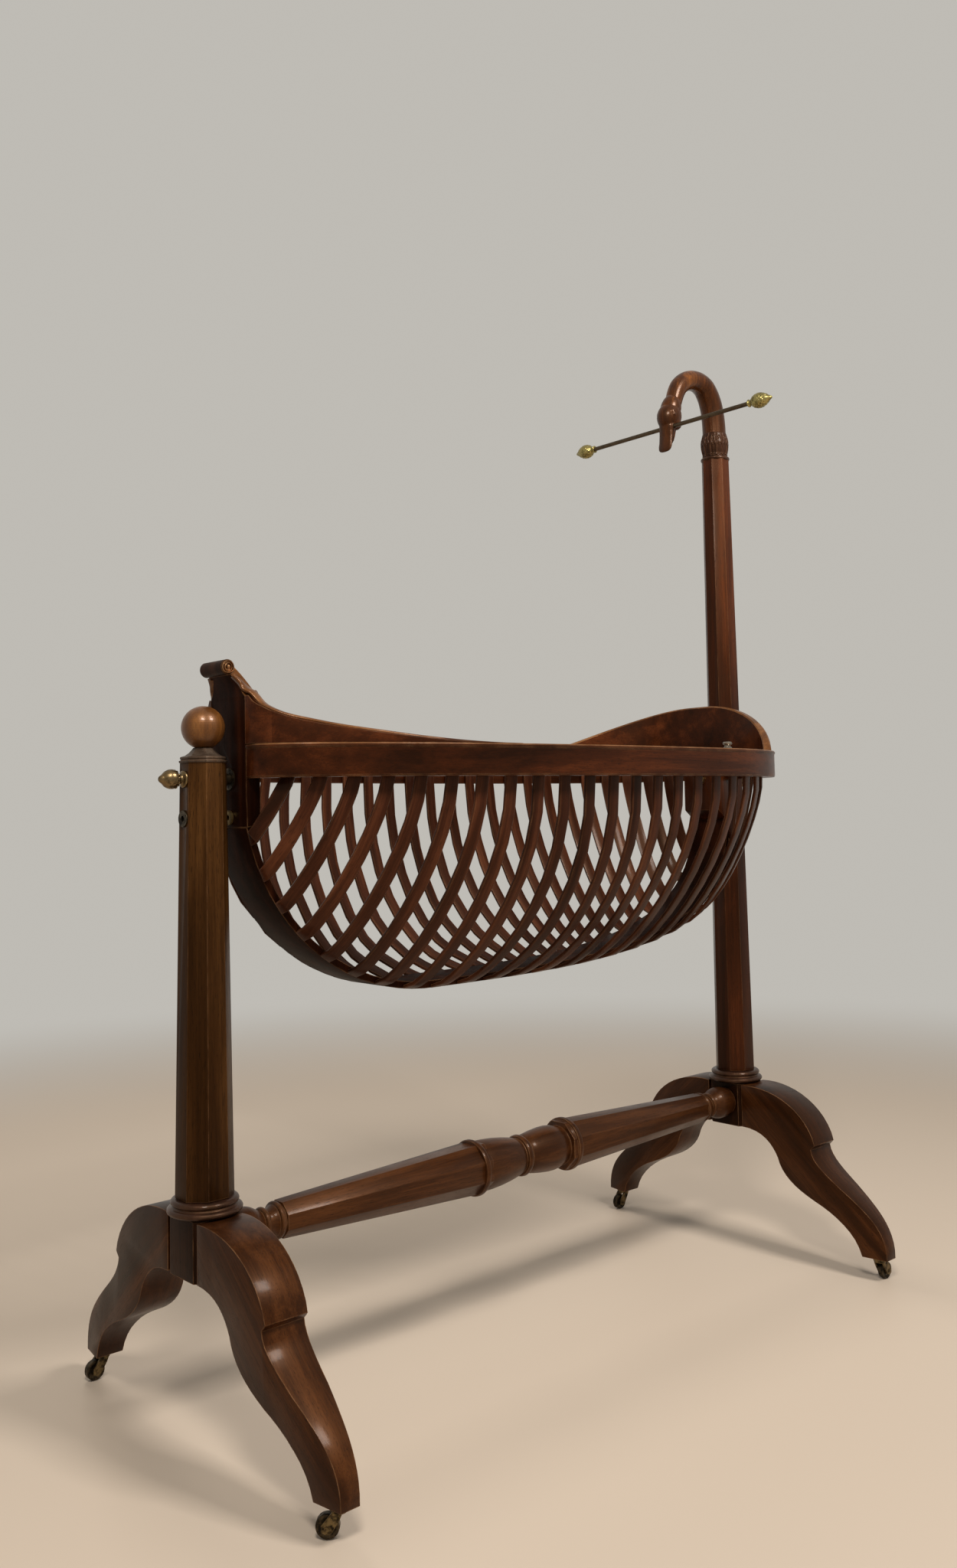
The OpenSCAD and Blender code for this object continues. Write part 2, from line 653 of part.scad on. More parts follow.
// ---------- curtain rod ----------
module curtain_rod() {
    y_cyl(-rod_len / 2, rod_len / 2, rod_d, rod_x, rod_z);
}

module rod_finial(s) {
    y0 = rod_len / 2 - 10;
    p = concat([[rod_d / 2 + seat_c, y0], [7, y0], [7.5, y0 + 2], [6, y0 + 4], [5, y0 + 8]],
        bez_pts([[5, y0 + 8], [13, y0 + 12], [14, y0 + 26], [7, y0 + 44]], 12, 1),
        bez_pts([[7, y0 + 44], [6, y0 + 50], [3, y0 + 55], [0, y0 + 57]], 5, 1),
        [[0, y0 + 10.2], [rod_d / 2 + seat_c, y0 + 10.2]]);
    translate([rod_x, 0, rod_z])
        rotate([s > 0 ? -90 : 90, 0, 0])
            rotate_extrude($fn = 64)
                polygon(p);
}

// ---------- castors ----------
module caster_plate(c) {
    translate([c[0], c[1], 0])
        difference() {
            union() {
                translate([0, 0, sole_z - 3.2])
                    cylinder(h = 3.2 - seat_c, d = 25);
                translate([0, 0, sole_z - 1])
                    cylinder(h = 30, d = 9);
            }
            cylinder(h = 66.6, d = 6 + 2 * run_c);
        }
}

module caster_fork(c) {
    translate([c[0], c[1], 0])
        rotate([0, 0, c[2]]) {
            difference() {
                union() {
                    translate([0, 0, 30])
                        cylinder(h = 4.6, d = 20);
                    translate([0, 0, 30])
                        cylinder(h = 36, d = 6);
                    for (s = [-1, 1])
                        translate([0, s * 8, 0])
                            rotate([90, 0, 0])
                                translate([0, 0, -1.5])
                                    linear_extrude(3)
                                        polygon([[-6, 33], [6, 33], [trail + 6, 18], [trail + 6, 10],
                                            [trail, 7], [trail - 6, 10], [-2, 24]]);
                }
                y_cyl(-20, 20, 5 + 2 * seat_c, trail, wheel_z);
            }
            y_cyl(-10.5, 10.5, 5, trail, wheel_z);
        }
}

module caster_wheel(c) {
    translate([c[0], c[1], 0])
        rotate([0, 0, c[2]])
            translate([trail, 0, wheel_z])
                rotate([90, 0, 0])
                    rotate_extrude($fn = 72)
                        polygon([[2.5 + run_c, -6], [6, -6], [6, -4], [11, -wheel_t / 2], [13.4, -wheel_t / 2], [14, -3.6],
                            [14, 3.6], [13.4, wheel_t / 2], [11, wheel_t / 2],
                            [6, 4], [6, 6], [2.5 + run_c, 6]]);
}

// ---------- named parts ----------
module left_block() { color(mahogany) block(xl); }
module right_block() { color(mahogany) block(xr); }
module left_leg_front() { color(mahogany) leg(xl, -1); }
module left_leg_back() { color(mahogany) leg(xl, 1); }
module right_leg_front() { color(mahogany) leg(xr, -1); }
module right_leg_back() { color(mahogany) leg(xr, 1); }
module left_base_ring() { color(dark_wood) base_ring(xl); }
module right_base_ring() { color(dark_wood) base_ring(xr); }
module left_post() { color(mahogany) post(xl, short_z, short_base, short_top); }
module right_post() { color(mahogany) post(xr, tall_z, tall_base, tall_top); }
module left_post_cap() { color(dark_wood) post_cap(); }
module ball_finial() { color(mahogany) ball(); }
module right_post_collar() { color(dark_wood) post_collar(); }
module swan_leaf_collar() { color(mahogany) leaf_collar(); }
module swan_neck() { color(mahogany) swan(); }
module stretcher_left() { color(mahogany) stretcher(-1); }
module stretcher_right() { color(mahogany) stretcher(1); }
module stretcher_knop() { color(mahogany) knop(); }
module stretcher_collar_left() { color(dark_wood) collar(-1); }
module stretcher_collar_right() { color(dark_wood) collar(1); }
module left_pivot_bolt() { color(brass) pivot_bolt(-1); }
module right_pivot_bolt() { color(brass) pivot_bolt(1); }
module left_pivot_finial() { color(brass) pivot_finial(-1); }
module right_pivot_finial() { color(brass) pivot_finial(1); }
module post_lock_bush() { color(brass) lock_bush(); }
module caster_plates() { color(brass) for (c = casters) caster_plate(c); }
module cradle_rim_band() { color(mahogany) rim_band(); }
module side_board_front() { color(mahogany) side_board(-1); }
module side_board_back() { color(mahogany) side_board(1); }
module stern_top_board() { color(mahogany) stern_board(); }
module stern_end_stile() { color(dark_wood) stern_stile(); }
module prow_end_board() { color(dark_wood) prow_board(); }
module prow_scroll_roll() { color(mahogany) prow_scroll(); }
module keel() { color(dark_wood) keel_board(); }
module slats_front_fore() { color(mahogany) slats(-1, 0, n_slat / 2 - 1); }
module slats_front_aft() { color(mahogany) slats(-1, n_slat / 2, n_slat - 1); }
module slats_back_fore() { color(mahogany) slats(1, 0, n_slat / 2 - 1); }
module slats_back_aft() { color(mahogany) slats(1, n_slat / 2, n_slat - 1); }
module prow_pivot_bush() { color(brass) prow_bush(); }
module stern_pivot_bush() { color(brass) stern_bush(); }
module cradle_lock_bush() { color(brass) cradle_lock(); }
module rim_curtain_knob() { color(brass) rim_hook(); }
module curtain_rod_bar() { color(brass) curtain_rod(); }
module rod_finial_front() { color(brass) rod_finial(-1); }
module rod_finial_back() { color(brass) rod_finial(1); }
module caster_fork_1() { color(brass) caster_fork(casters[0]); }
module caster_fork_2() { color(brass) caster_fork(casters[1]); }
module caster_fork_3() { color(brass) caster_fork(casters[2]); }
module caster_fork_4() { color(brass) caster_fork(casters[3]); }
module caster_wheel_1() { color(iron) caster_wheel(casters[0]); }
module caster_wheel_2() { color(iron) caster_wheel(casters[1]); }
module caster_wheel_3() { color(iron) caster_wheel(casters[2]); }
module caster_wheel_4() { color(iron) caster_wheel(casters[3]); }

left_block();
right_block();
left_leg_front();
left_leg_back();
right_leg_front();
right_leg_back();
left_base_ring();
right_base_ring();
left_post();
right_post();
left_post_cap();
ball_finial();
right_post_collar();
swan_leaf_collar();
swan_neck();
stretcher_left();
stretcher_right();
stretcher_knop();
stretcher_collar_left();
stretcher_collar_right();
left_pivot_bolt();
right_pivot_bolt();
left_pivot_finial();
right_pivot_finial();
post_lock_bush();
caster_plates();
cradle_rim_band();
side_board_front();
side_board_back();
stern_top_board();
stern_end_stile();
prow_end_board();
prow_scroll_roll();
keel();
slats_front_fore();
slats_front_aft();
slats_back_fore();
slats_back_aft();
prow_pivot_bush();
stern_pivot_bush();
cradle_lock_bush();
rim_curtain_knob();
curtain_rod_bar();
rod_finial_front();
rod_finial_back();
caster_fork_1();
caster_fork_2();
caster_fork_3();
caster_fork_4();
caster_wheel_1();
caster_wheel_2();
caster_wheel_3();
caster_wheel_4();
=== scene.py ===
# %% [markdown]
# # A swinging boat cradle, dressed for the camera
# The cradle is a slatted mahogany boat hung between two eight-sided posts. The
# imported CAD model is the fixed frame: every piece below is laid over one of its
# nodes, in the same metres, and rides on the same body.

# %% Load the frame and keep its box
import json
import math

import bmesh
import bpy
import numpy as np
from mathutils import Matrix, Vector


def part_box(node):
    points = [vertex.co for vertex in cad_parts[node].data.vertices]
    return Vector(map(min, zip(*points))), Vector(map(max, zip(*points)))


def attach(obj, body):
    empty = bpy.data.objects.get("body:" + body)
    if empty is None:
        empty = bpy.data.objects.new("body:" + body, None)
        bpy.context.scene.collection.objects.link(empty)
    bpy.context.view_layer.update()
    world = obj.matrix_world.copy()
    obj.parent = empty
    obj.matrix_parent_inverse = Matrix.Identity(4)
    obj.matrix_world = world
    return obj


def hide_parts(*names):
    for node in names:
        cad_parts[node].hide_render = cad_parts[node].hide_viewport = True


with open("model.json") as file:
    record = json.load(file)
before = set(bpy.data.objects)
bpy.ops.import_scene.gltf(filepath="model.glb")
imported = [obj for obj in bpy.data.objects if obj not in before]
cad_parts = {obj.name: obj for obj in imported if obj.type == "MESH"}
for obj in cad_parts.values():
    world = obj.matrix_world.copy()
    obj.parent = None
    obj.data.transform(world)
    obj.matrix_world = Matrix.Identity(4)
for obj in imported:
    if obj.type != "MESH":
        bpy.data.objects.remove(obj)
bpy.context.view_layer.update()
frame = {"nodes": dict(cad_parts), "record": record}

nodes = frame["nodes"]
MM = 0.001
QUARTER_TURN = math.radians(90)

# %% [markdown]
# ## The camera
# The photograph was taken from the foot of the short post, a little over two
# metres from the middle of the cradle, with the lens at about the height of the
# rail. A camera can be turned by Euler angles, but writing its right, up and
# forward directions into one matrix keeps the small roll of the hand exact.

# %% Set the camera
FILM_MM = 36
PHOTO_PX = (1250, 2048)


def aim_camera(place, yaw, pitch, roll, focal_px, centre_px):
    """Angles in degrees: yaw from +X, pitch upwards, roll about the line of sight."""
    y, p, r = (math.radians(a) for a in (yaw, pitch, roll))
    ahead = Vector((math.cos(p) * math.cos(y), math.cos(p) * math.sin(y), math.sin(p)))
    right = Vector((math.sin(y), -math.cos(y), 0))
    up = right.cross(ahead)
    level_right = right * math.cos(r) + up * math.sin(r)
    level_up = up * math.cos(r) - right * math.sin(r)
    wide, high = PHOTO_PX
    data = bpy.data.cameras.new("photo_camera")
    data.sensor_width = FILM_MM
    data.lens = focal_px * FILM_MM / high
    data.shift_x = (wide / 2 - centre_px[0]) / high
    data.shift_y = (centre_px[1] - high / 2) / high
    camera = bpy.data.objects.new("photo_camera", data)
    bpy.context.scene.collection.objects.link(camera)
    turn = Matrix((level_right, level_up, -ahead)).transposed()
    camera.matrix_world = Matrix.Translation(place) @ turn.to_4x4()
    bpy.context.scene.camera = camera
    return camera


camera = aim_camera(place=(-1.4775, -1.5591, 0.8227), yaw=47.943, pitch=4.169, roll=-1.109,
                    focal_px=1696.3, centre_px=(624.5, 934.8))
print("lens", round(camera.data.lens, 2), "mm")

# %% [markdown]
# ## Light and floor
# Dark polished wood is seen by what it reflects. A pale even world fills the
# shadows, and two softboxes overhead give the ball its pair of highlights and
# the posts their long bright lines. A weaker third one behind is kept out of
# the reflections. The floor is a wide plain sheet that fades into the world's
# colour, so no horizon cuts the picture behind the cradle.

# %% World and lamps
bpy.context.scene.view_settings.view_transform = "Standard"
PALE = (0.52, 0.50, 0.46)
FILL_LEVEL = 0.5
world = bpy.data.worlds.new("studio")
world.use_nodes = True
bpy.context.scene.world = world


def softbox(name, place, target, side, power, tint):
    data = bpy.data.lights.new(name, "AREA")
    data.shape, data.size, data.size_y = "RECTANGLE", side, side
    data.energy, data.color = power, tint
    lamp = bpy.data.objects.new(name, data)
    bpy.context.scene.collection.objects.link(lamp)
    lamp.location = place
    lamp.rotation_euler = (Vector(target) - Vector(place)).to_track_quat("-Z", "Y").to_euler()
    return lamp


softbox("near_softbox", (-1.5, -1.5, 2.8), (-0.3, 0, 0.8), 0.6, 52, (1, 0.95, 0.88))
softbox("far_softbox", (0.35, -1.9, 2.9), (0.3, 0, 0.9), 0.7, 66, (1, 0.96, 0.91))
back_lamp = softbox("back_softbox", (0.4, 2.4, 2.6), (0, 0, 0.7), 0.9, 22, (1, 0.96, 0.9))
back_lamp.visible_glossy = False
print("lamps:", len(bpy.data.lights))


# %% Short names for the shader nodes that are used again and again
def add_node(tree, kind, inputs=None, **settings):
    made = tree.nodes.new(kind)
    for key, value in settings.items():
        setattr(made, key, value)
    for key, value in (inputs or {}).items():
        if isinstance(value, bpy.types.NodeSocket):
            tree.links.new(value, made.inputs[key])
        else:
            made.inputs[key].default_value = value
    return made


def maths(tree, operation, first, second, clamp=False):
    return add_node(tree, "ShaderNodeMath", {0: first, 1: second}, operation=operation,
                    use_clamp=clamp).outputs["Value"]


def noise(tree, vector, scale, detail, roughness=0.5, distortion=0.0):
    return add_node(tree, "ShaderNodeTexNoise", {
        "Vector": vector, "Scale": scale, "Detail": detail, "Roughness": roughness,
        "Distortion": distortion}).outputs["Fac"]


def remap(tree, value, low, high, to_low=0.0, to_high=1.0, **settings):
    return add_node(tree, "ShaderNodeMapRange", {
        "Value": value, "From Min": low, "From Max": high, "To Min": to_low,
        "To Max": to_high}, **settings).outputs["Result"]


def blend(tree, factor, first, second):
    return add_node(tree, "ShaderNodeMix", {0: factor, 6: first, 7: second},
                    data_type="RGBA").outputs[2]


def flatness(tree, radius):
    """1 on a flat face and less beside an arris: the true normal against a rounded one."""
    rounded = add_node(tree, "ShaderNodeBevel", {"Radius": radius}, samples=4).outputs["Normal"]
    straight = add_node(tree, "ShaderNodeNewGeometry").outputs["Normal"]
    return add_node(tree, "ShaderNodeVectorMath", {0: rounded, 1: straight},
                    operation="DOT_PRODUCT").outputs["Value"]


def blank_finish(name):
    finish = bpy.data.materials.new(name)
    finish.use_nodes = True
    return finish, finish.node_tree, finish.node_tree.nodes["Principled BSDF"]


print("node helpers ready")


# %% The sky's two levels and the floor
def fill_world(level):
    """Pale where it is seen, mirrored or looked through; dimmer as light that falls on things."""
    tree = world.node_tree
    path = add_node(tree, "ShaderNodeLightPath").outputs
    seen = maths(tree, "ADD", path["Is Camera Ray"], path["Is Glossy Ray"])
    seen = maths(tree, "ADD", seen, path["Is Transmission Ray"], True)
    tint = blend(tree, seen, (*[c * level for c in PALE], 1), (*PALE, 1))
    tree.links.new(tint, tree.nodes["Background"].inputs["Color"])


def floor_finish():
    finish, tree, shader = blank_finish("pale_floor")
    shader.inputs["Base Color"].default_value = (0.58, 0.48, 0.385, 1)
    shader.inputs["Roughness"].default_value = 0.55
    where = add_node(tree, "ShaderNodeTexCoord").outputs["Object"]
    far = add_node(tree, "ShaderNodeVectorMath", {0: where}, operation="LENGTH").outputs["Value"]
    fade = remap(tree, far, 1.7, 3.8, interpolation_type="SMOOTHSTEP")
    glow = add_node(tree, "ShaderNodeEmission", {"Color": (*PALE, 1)})
    both = add_node(tree, "ShaderNodeMixShader", {
        0: fade, 1: shader.outputs[0], 2: glow.outputs[0]})
    tree.links.new(both.outputs[0], tree.nodes["Material Output"].inputs["Surface"])
    return finish


fill_world(FILL_LEVEL)
bpy.ops.object.select_all(action="DESELECT")
bpy.ops.mesh.primitive_circle_add(vertices=96, radius=30, fill_type="NGON",
                                  location=(0, 0, -0.5 * MM))
floor = bpy.context.active_object
floor.name = "studio_floor"
floor.data.materials.append(floor_finish())
print("floor laid, sky level", FILL_LEVEL)

# %% [markdown]
# ## French-polished mahogany
# Mahogany is a red-brown wood with long straight figure, fine fibres and short
# open pores, and shellac gives it a glassy skin that hands have rubbed through
# on the edges. The figure is noise stretched along the grain, so each piece says
# which way its board was sawn. The pale edges come from comparing the true
# normal with a rounded one, which finds every arris without painting it.

# %% Mahogany finish
WORN_EDGE = (0.26, 0.13, 0.06)
SHELLAC_TINT = (1, 0.52, 0.28)


def mahogany(name, deep, body, bright, turn=(0, 0, 0), wear=0.6, polish=0.26, from_uv=False,
             figure=1.0, gloss=0.18):
    """deep, body, bright: the three tones; turn: how the grain lies; figure: its fineness."""
    finish, tree, shader = blank_finish(name)
    where = add_node(tree, "ShaderNodeTexCoord").outputs["Object"]
    along = where
    if from_uv:
        flat = add_node(tree, "ShaderNodeUVMap", uv_map="grain").outputs["UV"]
        along = add_node(tree, "ShaderNodeMapping", {
            "Vector": flat, "Rotation": (QUARTER_TURN, 0, 0)}).outputs["Vector"]
    sawn = add_node(tree, "ShaderNodeMapping", {
        "Vector": along, "Rotation": turn}).outputs["Vector"]

    def stripes(stretch, scale, detail, distortion=0.0):
        long = add_node(tree, "ShaderNodeMapping", {"Vector": sawn, "Scale": (1, 1, stretch)})
        return noise(tree, long.outputs["Vector"], scale, detail, 0.55, distortion)

    broad = stripes(0.09, 13 * figure, 2, 0.9)
    ribbon = stripes(0.05, 62 * figure, 3, 0.3)
    fibre = stripes(0.03, 430, 2)
    pore = stripes(0.045, 1500, 1)
    fine = maths(tree, "ADD", maths(tree, "MULTIPLY", ribbon, 0.34),
                 maths(tree, "MULTIPLY", fibre, 0.16))
    tone = maths(tree, "ADD", maths(tree, "MULTIPLY", broad, 0.5), fine)
    ramp = add_node(tree, "ShaderNodeValToRGB", {"Fac": tone})
    ramp.color_ramp.elements[0].position, ramp.color_ramp.elements[0].color = 0.36, (*deep, 1)
    ramp.color_ramp.elements[1].position, ramp.color_ramp.elements[1].color = 0.66, (*bright, 1)
    ramp.color_ramp.elements.new(0.51).color = (*body, 1)
    open_pore = remap(tree, pore, 0.60, 0.70, 0, 0.75)
    colour = blend(tree, open_pore, ramp.outputs["Color"], (*[c * 0.25 for c in deep], 1))

    cloud = noise(tree, where, 7, 4, 0.6)
    smudge = maths(tree, "MULTIPLY", remap(tree, cloud, 0.35, 0.7), 0.35)
    colour = blend(tree, smudge, colour, (*[c * 0.45 for c in body], 1))

    arris = remap(tree, flatness(tree, 2.2 * MM), 0.995, 0.90)
    rubbed = remap(tree, noise(tree, where, 38, 3), 0.4, 0.62, 0.25)
    edge = maths(tree, "MULTIPLY", maths(tree, "MULTIPLY", arris, rubbed, True), wear)
    colour = blend(tree, edge, colour, (*WORN_EDGE, 1))
    tree.links.new(colour, shader.inputs["Base Color"])

    dull = remap(tree, cloud, 0.3, 0.75, polish, polish + 0.22)
    rough = maths(tree, "ADD", dull, maths(tree, "MULTIPLY", open_pore, 0.2), True)
    tree.links.new(rough, shader.inputs["Roughness"])
    shader.inputs["Specular IOR Level"].default_value = gloss
    shader.inputs["Specular Tint"].default_value = (*SHELLAC_TINT, 1)
    shader.inputs["Coat Weight"].default_value = gloss * 0.4
    shader.inputs["Coat Roughness"].default_value = 0.14
    height = maths(tree, "SUBTRACT", maths(tree, "MULTIPLY", fibre, 0.4), open_pore)
    crisp = add_node(tree, "ShaderNodeBevel", {"Radius": 0.7 * MM}, samples=4).outputs["Normal"]
    bump = add_node(tree, "ShaderNodeBump", {
        "Height": height, "Strength": 0.22, "Distance": 0.4 * MM, "Normal": crisp})
    tree.links.new(bump.outputs["Normal"], shader.inputs["Normal"])
    return finish


print("mahogany can be mixed")

# %% Mix the wood finishes
RED = (0.009, 0.002, 0.0007), (0.038, 0.0085, 0.0022), (0.11, 0.027, 0.007)
BROWN = (0.007, 0.0021, 0.0006), (0.031, 0.0092, 0.0024), (0.09, 0.030, 0.0085)
LENGTHWISE = (0, QUARTER_TURN, 0)
LEG_SLOPE = math.radians(48)
upright = mahogany("mahogany_upright", *RED)
lengthwise = mahogany("mahogany_lengthwise", *RED, turn=LENGTHWISE)
slat_wood = mahogany("mahogany_slats", RED[0], (0.036, 0.0095, 0.004), (0.10, 0.03, 0.012),
                     from_uv=True, figure=1.6, wear=0.45)
olive = mahogany("mahogany_sunned_post", (0.010, 0.0034, 0.0006), (0.031, 0.0115, 0.0025),
                 (0.078, 0.032, 0.0083), gloss=0.1)
amber = mahogany("mahogany_ball", (0.035, 0.011, 0.0024), (0.105, 0.037, 0.0075),
                 (0.21, 0.083, 0.019), figure=1.2, polish=0.3, gloss=0.7)
leg_front_wood = mahogany("mahogany_leg_front", *BROWN, turn=(LEG_SLOPE, 0, 0), wear=1)
leg_back_wood = mahogany("mahogany_leg_back", *BROWN, turn=(-LEG_SLOPE, 0, 0), wear=1)
stretcher_wood = mahogany("mahogany_stretcher", *BROWN, turn=LENGTHWISE, wear=0.8, gloss=0.24)
block_wood = mahogany("mahogany_block", (0.003, 0.001, 0.0004), (0.011, 0.0035, 0.0013),
                      (0.036, 0.012, 0.0045), wear=1, polish=0.36, gloss=0.08)
leaf_wood = mahogany("mahogany_leaves", (0.006, 0.0022, 0.0012), (0.024, 0.009, 0.005),
                     (0.075, 0.031, 0.018), polish=0.36, gloss=0.2, wear=0.3)
dark_turned = mahogany("mahogany_dark_turned", (0.006, 0.0024, 0.0014), (0.024, 0.0095, 0.0055),
                       (0.07, 0.03, 0.018), polish=0.22, gloss=0.3)
swan_wood = mahogany("mahogany_swan", (0.008, 0.002, 0.0006), (0.05, 0.0135, 0.003),
                     (0.21, 0.068, 0.012), figure=1.4, wear=0.2, polish=0.22, gloss=0.34)
shadowed = mahogany("mahogany_shadowed", (0.003, 0.0008, 0.0003), (0.011, 0.0026, 0.0009),
                    (0.036, 0.009, 0.003), polish=0.4, gloss=0.04)
grey_cap = mahogany("mahogany_grey_cap", (0.010, 0.006, 0.004), (0.034, 0.022, 0.015),
                    (0.085, 0.062, 0.045), polish=0.3)
# golden is a lit copy of the wood: painted light on tops and edges that face the lamps, together
# with rubbed wear
golden = mahogany("mahogany_golden_light_and_wear", (0.03, 0.009, 0.002), (0.115, 0.041, 0.010),
                  (0.25, 0.108, 0.034), turn=LENGTHWISE, polish=0.18, gloss=0.4)
print("wood finishes:", [m.name for m in bpy.data.materials if m.name.startswith("mahogany")])

# %% [markdown]
# ## Old brass
# The mounts are cast and turned brass: yellow where hands polish them, greenish
# brown where lacquer and dust have stayed. One noise decides how tarnished a
# place is, and the same value dulls the gloss there.

# %% Brass finish
def old_brass(name, clean, tarnish, amount=0.5, shine=0.24):
    """amount: how much of the surface is tarnished; shine: roughness where it is clean."""
    finish, tree, shader = blank_finish(name)
    where = add_node(tree, "ShaderNodeTexCoord").outputs["Object"]
    patch = noise(tree, where, 130, 4, 0.65)
    stain = remap(tree, patch, 0.68 - amount * 0.35, 0.8 - amount * 0.25)
    kept = remap(tree, flatness(tree, 1.2 * MM), 0.90, 0.99, 0.25)
    stained = maths(tree, "MULTIPLY", stain, kept)
    tree.links.new(blend(tree, stained, (*clean, 1), (*tarnish, 1)), shader.inputs["Base Color"])
    rough = remap(tree, stained, 0, 1, shine, shine + 0.3)
    tree.links.new(rough, shader.inputs["Roughness"])
    shader.inputs["Metallic"].default_value = 0.95
    bump = add_node(tree, "ShaderNodeBump", {
        "Height": noise(tree, where, 900, 2), "Strength": 0.15, "Distance": 0.2 * MM})
    tree.links.new(bump.outputs["Normal"], shader.inputs["Normal"])
    return finish


finial_brass = old_brass("brass_finials", (0.38, 0.31, 0.115), (0.10, 0.085, 0.03), 0.6)
castor_brass = old_brass("brass_castors", (0.17, 0.12, 0.055), (0.022, 0.015, 0.008), 0.8, 0.3)
bolt_brass = old_brass("brass_bolts", (0.40, 0.27, 0.11), (0.075, 0.048, 0.02), 0.62, 0.28)
pivot_brass = old_brass("brass_pivot_finials", (0.19, 0.13, 0.062), (0.05, 0.033, 0.015),
                        0.6, 0.26)
rod_brass = old_brass("brass_rod", (0.10, 0.072, 0.045), (0.055, 0.04, 0.025), 0.4, 0.3)
wheel_dark = old_brass("brass_wheels", (0.075, 0.055, 0.032), (0.016, 0.012, 0.008), 0.8, 0.34)
copper_gold = old_brass("copper_rosettes", (0.30, 0.16, 0.075), (0.05, 0.023, 0.01), 0.5, 0.3)
silvered = old_brass("silvered_knob", (0.30, 0.26, 0.21), (0.09, 0.075, 0.06), 0.5, 0.2)
print("metal finishes ready")

# %% [markdown]
# ## Softened copies of the joiner's pieces
# The CAD solids have knife edges, but on the real stand every arris is eased by
# a scraper and by two centuries of hands, and that thin rounded line is what
# catches the light. Each wooden node is copied, its loose triangles are merged,
# the flat faces are joined up again, and a narrow bevel is applied.

# %% Helpers for editing
CAD_MERGE = 0.02 * MM  # points of a CAD copy that are one point
MERGE = 0.01 * MM      # the same where a spun or swept skin closes on itself


def only(piece):
    if bpy.context.object and bpy.context.object.mode == "EDIT":
        bpy.ops.object.mode_set(mode="OBJECT")
    bpy.ops.object.select_all(action="DESELECT")
    piece.select_set(True)
    bpy.context.view_layer.objects.active = piece


def edit(piece):
    only(piece)
    bpy.ops.object.mode_set(mode="EDIT")
    bpy.ops.mesh.select_mode(type="FACE")
    bpy.ops.mesh.select_all(action="DESELECT")


def pick(piece, test, kind="faces"):
    """Selects the faces or verts that pass the test, and says how many there are."""
    mesh = bmesh.from_edit_mesh(piece.data)
    count = 0
    for part in getattr(mesh, kind):
        where = (part.calc_center_median(), part.normal) if kind == "faces" else (part.co,)
        chosen = bool(test(*where))
        part.select_set(chosen)
        count += chosen
    mesh.select_flush_mode()
    bmesh.update_edit_mesh(piece.data)
    return count


def shaped(piece, kind, **settings):
    """Adds one modifier and applies it at once."""
    only(piece)
    modifier = piece.modifiers.new(kind.lower(), kind)
    for key, value in settings.items():
        setattr(modifier, key, value)
    bpy.ops.object.modifier_apply(modifier=modifier.name)


def faces_outwards(piece, merge=0):
    edit(piece)
    bpy.ops.mesh.select_all(action="SELECT")
    if merge:
        bpy.ops.mesh.remove_doubles(threshold=merge)
    bpy.ops.mesh.normals_make_consistent(inside=False)
    bpy.ops.object.mode_set(mode="OBJECT")


def settle(piece, angle=30):
    only(piece)
    bpy.ops.object.transform_apply(location=True, rotation=True, scale=True)
    bpy.ops.object.shade_smooth_by_angle(angle=math.radians(angle))
    return piece


def own(piece, body, finish, node=None):
    piece.data.materials.clear()
    piece.data.materials.append(finish)
    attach(piece, body)
    if node:
        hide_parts(*([node] if isinstance(node, str) else node))
    return piece


print("editing helpers ready")

# %% Copy a CAD node and ease its edges
ARRIS = 0.9 * MM
body_of_node = {n: b for b, names in frame["record"]["behaviour"]["bodies"].items() for n in names}


def merged_copy(node, name, join_flats):
    piece = bpy.data.objects.new(name, nodes[node].data.copy())
    bpy.context.scene.collection.objects.link(piece)
    edit(piece)
    bpy.ops.mesh.select_all(action="SELECT")
    bpy.ops.mesh.customdata_custom_splitnormals_clear()
    bpy.ops.mesh.remove_doubles(threshold=CAD_MERGE)
    if join_flats:
        bpy.ops.mesh.dissolve_limited(angle_limit=math.radians(0.6))
    else:
        bpy.ops.mesh.tris_convert_to_quads(face_threshold=math.radians(1),
                                           shape_threshold=math.radians(150))
    bpy.ops.object.mode_set(mode="OBJECT")
    return piece


def eased(node, finish, width=ARRIS, segments=2, angle=32):
    # Joining the flats of the rim band would close its open middle with one face.
    piece = merged_copy(node, "eased_" + node, join_flats=node != "cradle_rim_band")
    shaped(piece, "BEVEL", width=width, segments=segments, limit_method="ANGLE",
           angle_limit=math.radians(angle))
    settle(piece, 34)
    return own(piece, body_of_node[node], finish, node)


plain_pieces = {
    "left_block": block_wood, "right_block": block_wood, "left_post": olive,
    "right_post": upright, "left_leg_front": leg_front_wood, "right_leg_front": leg_front_wood,
    "left_leg_back": leg_back_wood, "right_leg_back": leg_back_wood,
    "left_post_cap": grey_cap, "stretcher_left": stretcher_wood,
    "stretcher_right": stretcher_wood, "cradle_rim_band": lengthwise,
    "side_board_front": lengthwise, "side_board_back": lengthwise,
    "stern_top_board": lengthwise, "stern_end_stile": upright, "prow_end_board": shadowed,
    "keel": shadowed,
}
rounder = {"stern_top_board": (4.5 * MM, 4), "side_board_front": (2 * MM, 3),
           "side_board_back": (2 * MM, 3)}
for node, finish in plain_pieces.items():
    piece = eased(node, finish, *rounder.get(node, (ARRIS, 2)))
    print(node, len(piece.data.polygons))

# %% Paint the tops golden: painted light where the lamps fall on them, and rubbed wear
PROW_SHOULDER_Z = 0.93
BAND_TOP_Z = 0.9162


def paint_light_and_wear(name, test):
    piece = bpy.data.objects[name]
    edit(piece)
    count = pick(piece, test)
    piece.data.materials.append(golden)
    piece.active_material_index = 1
    bpy.ops.object.material_slot_assign()
    bpy.ops.object.mode_set(mode="OBJECT")
    print(name, "golden faces:", count)
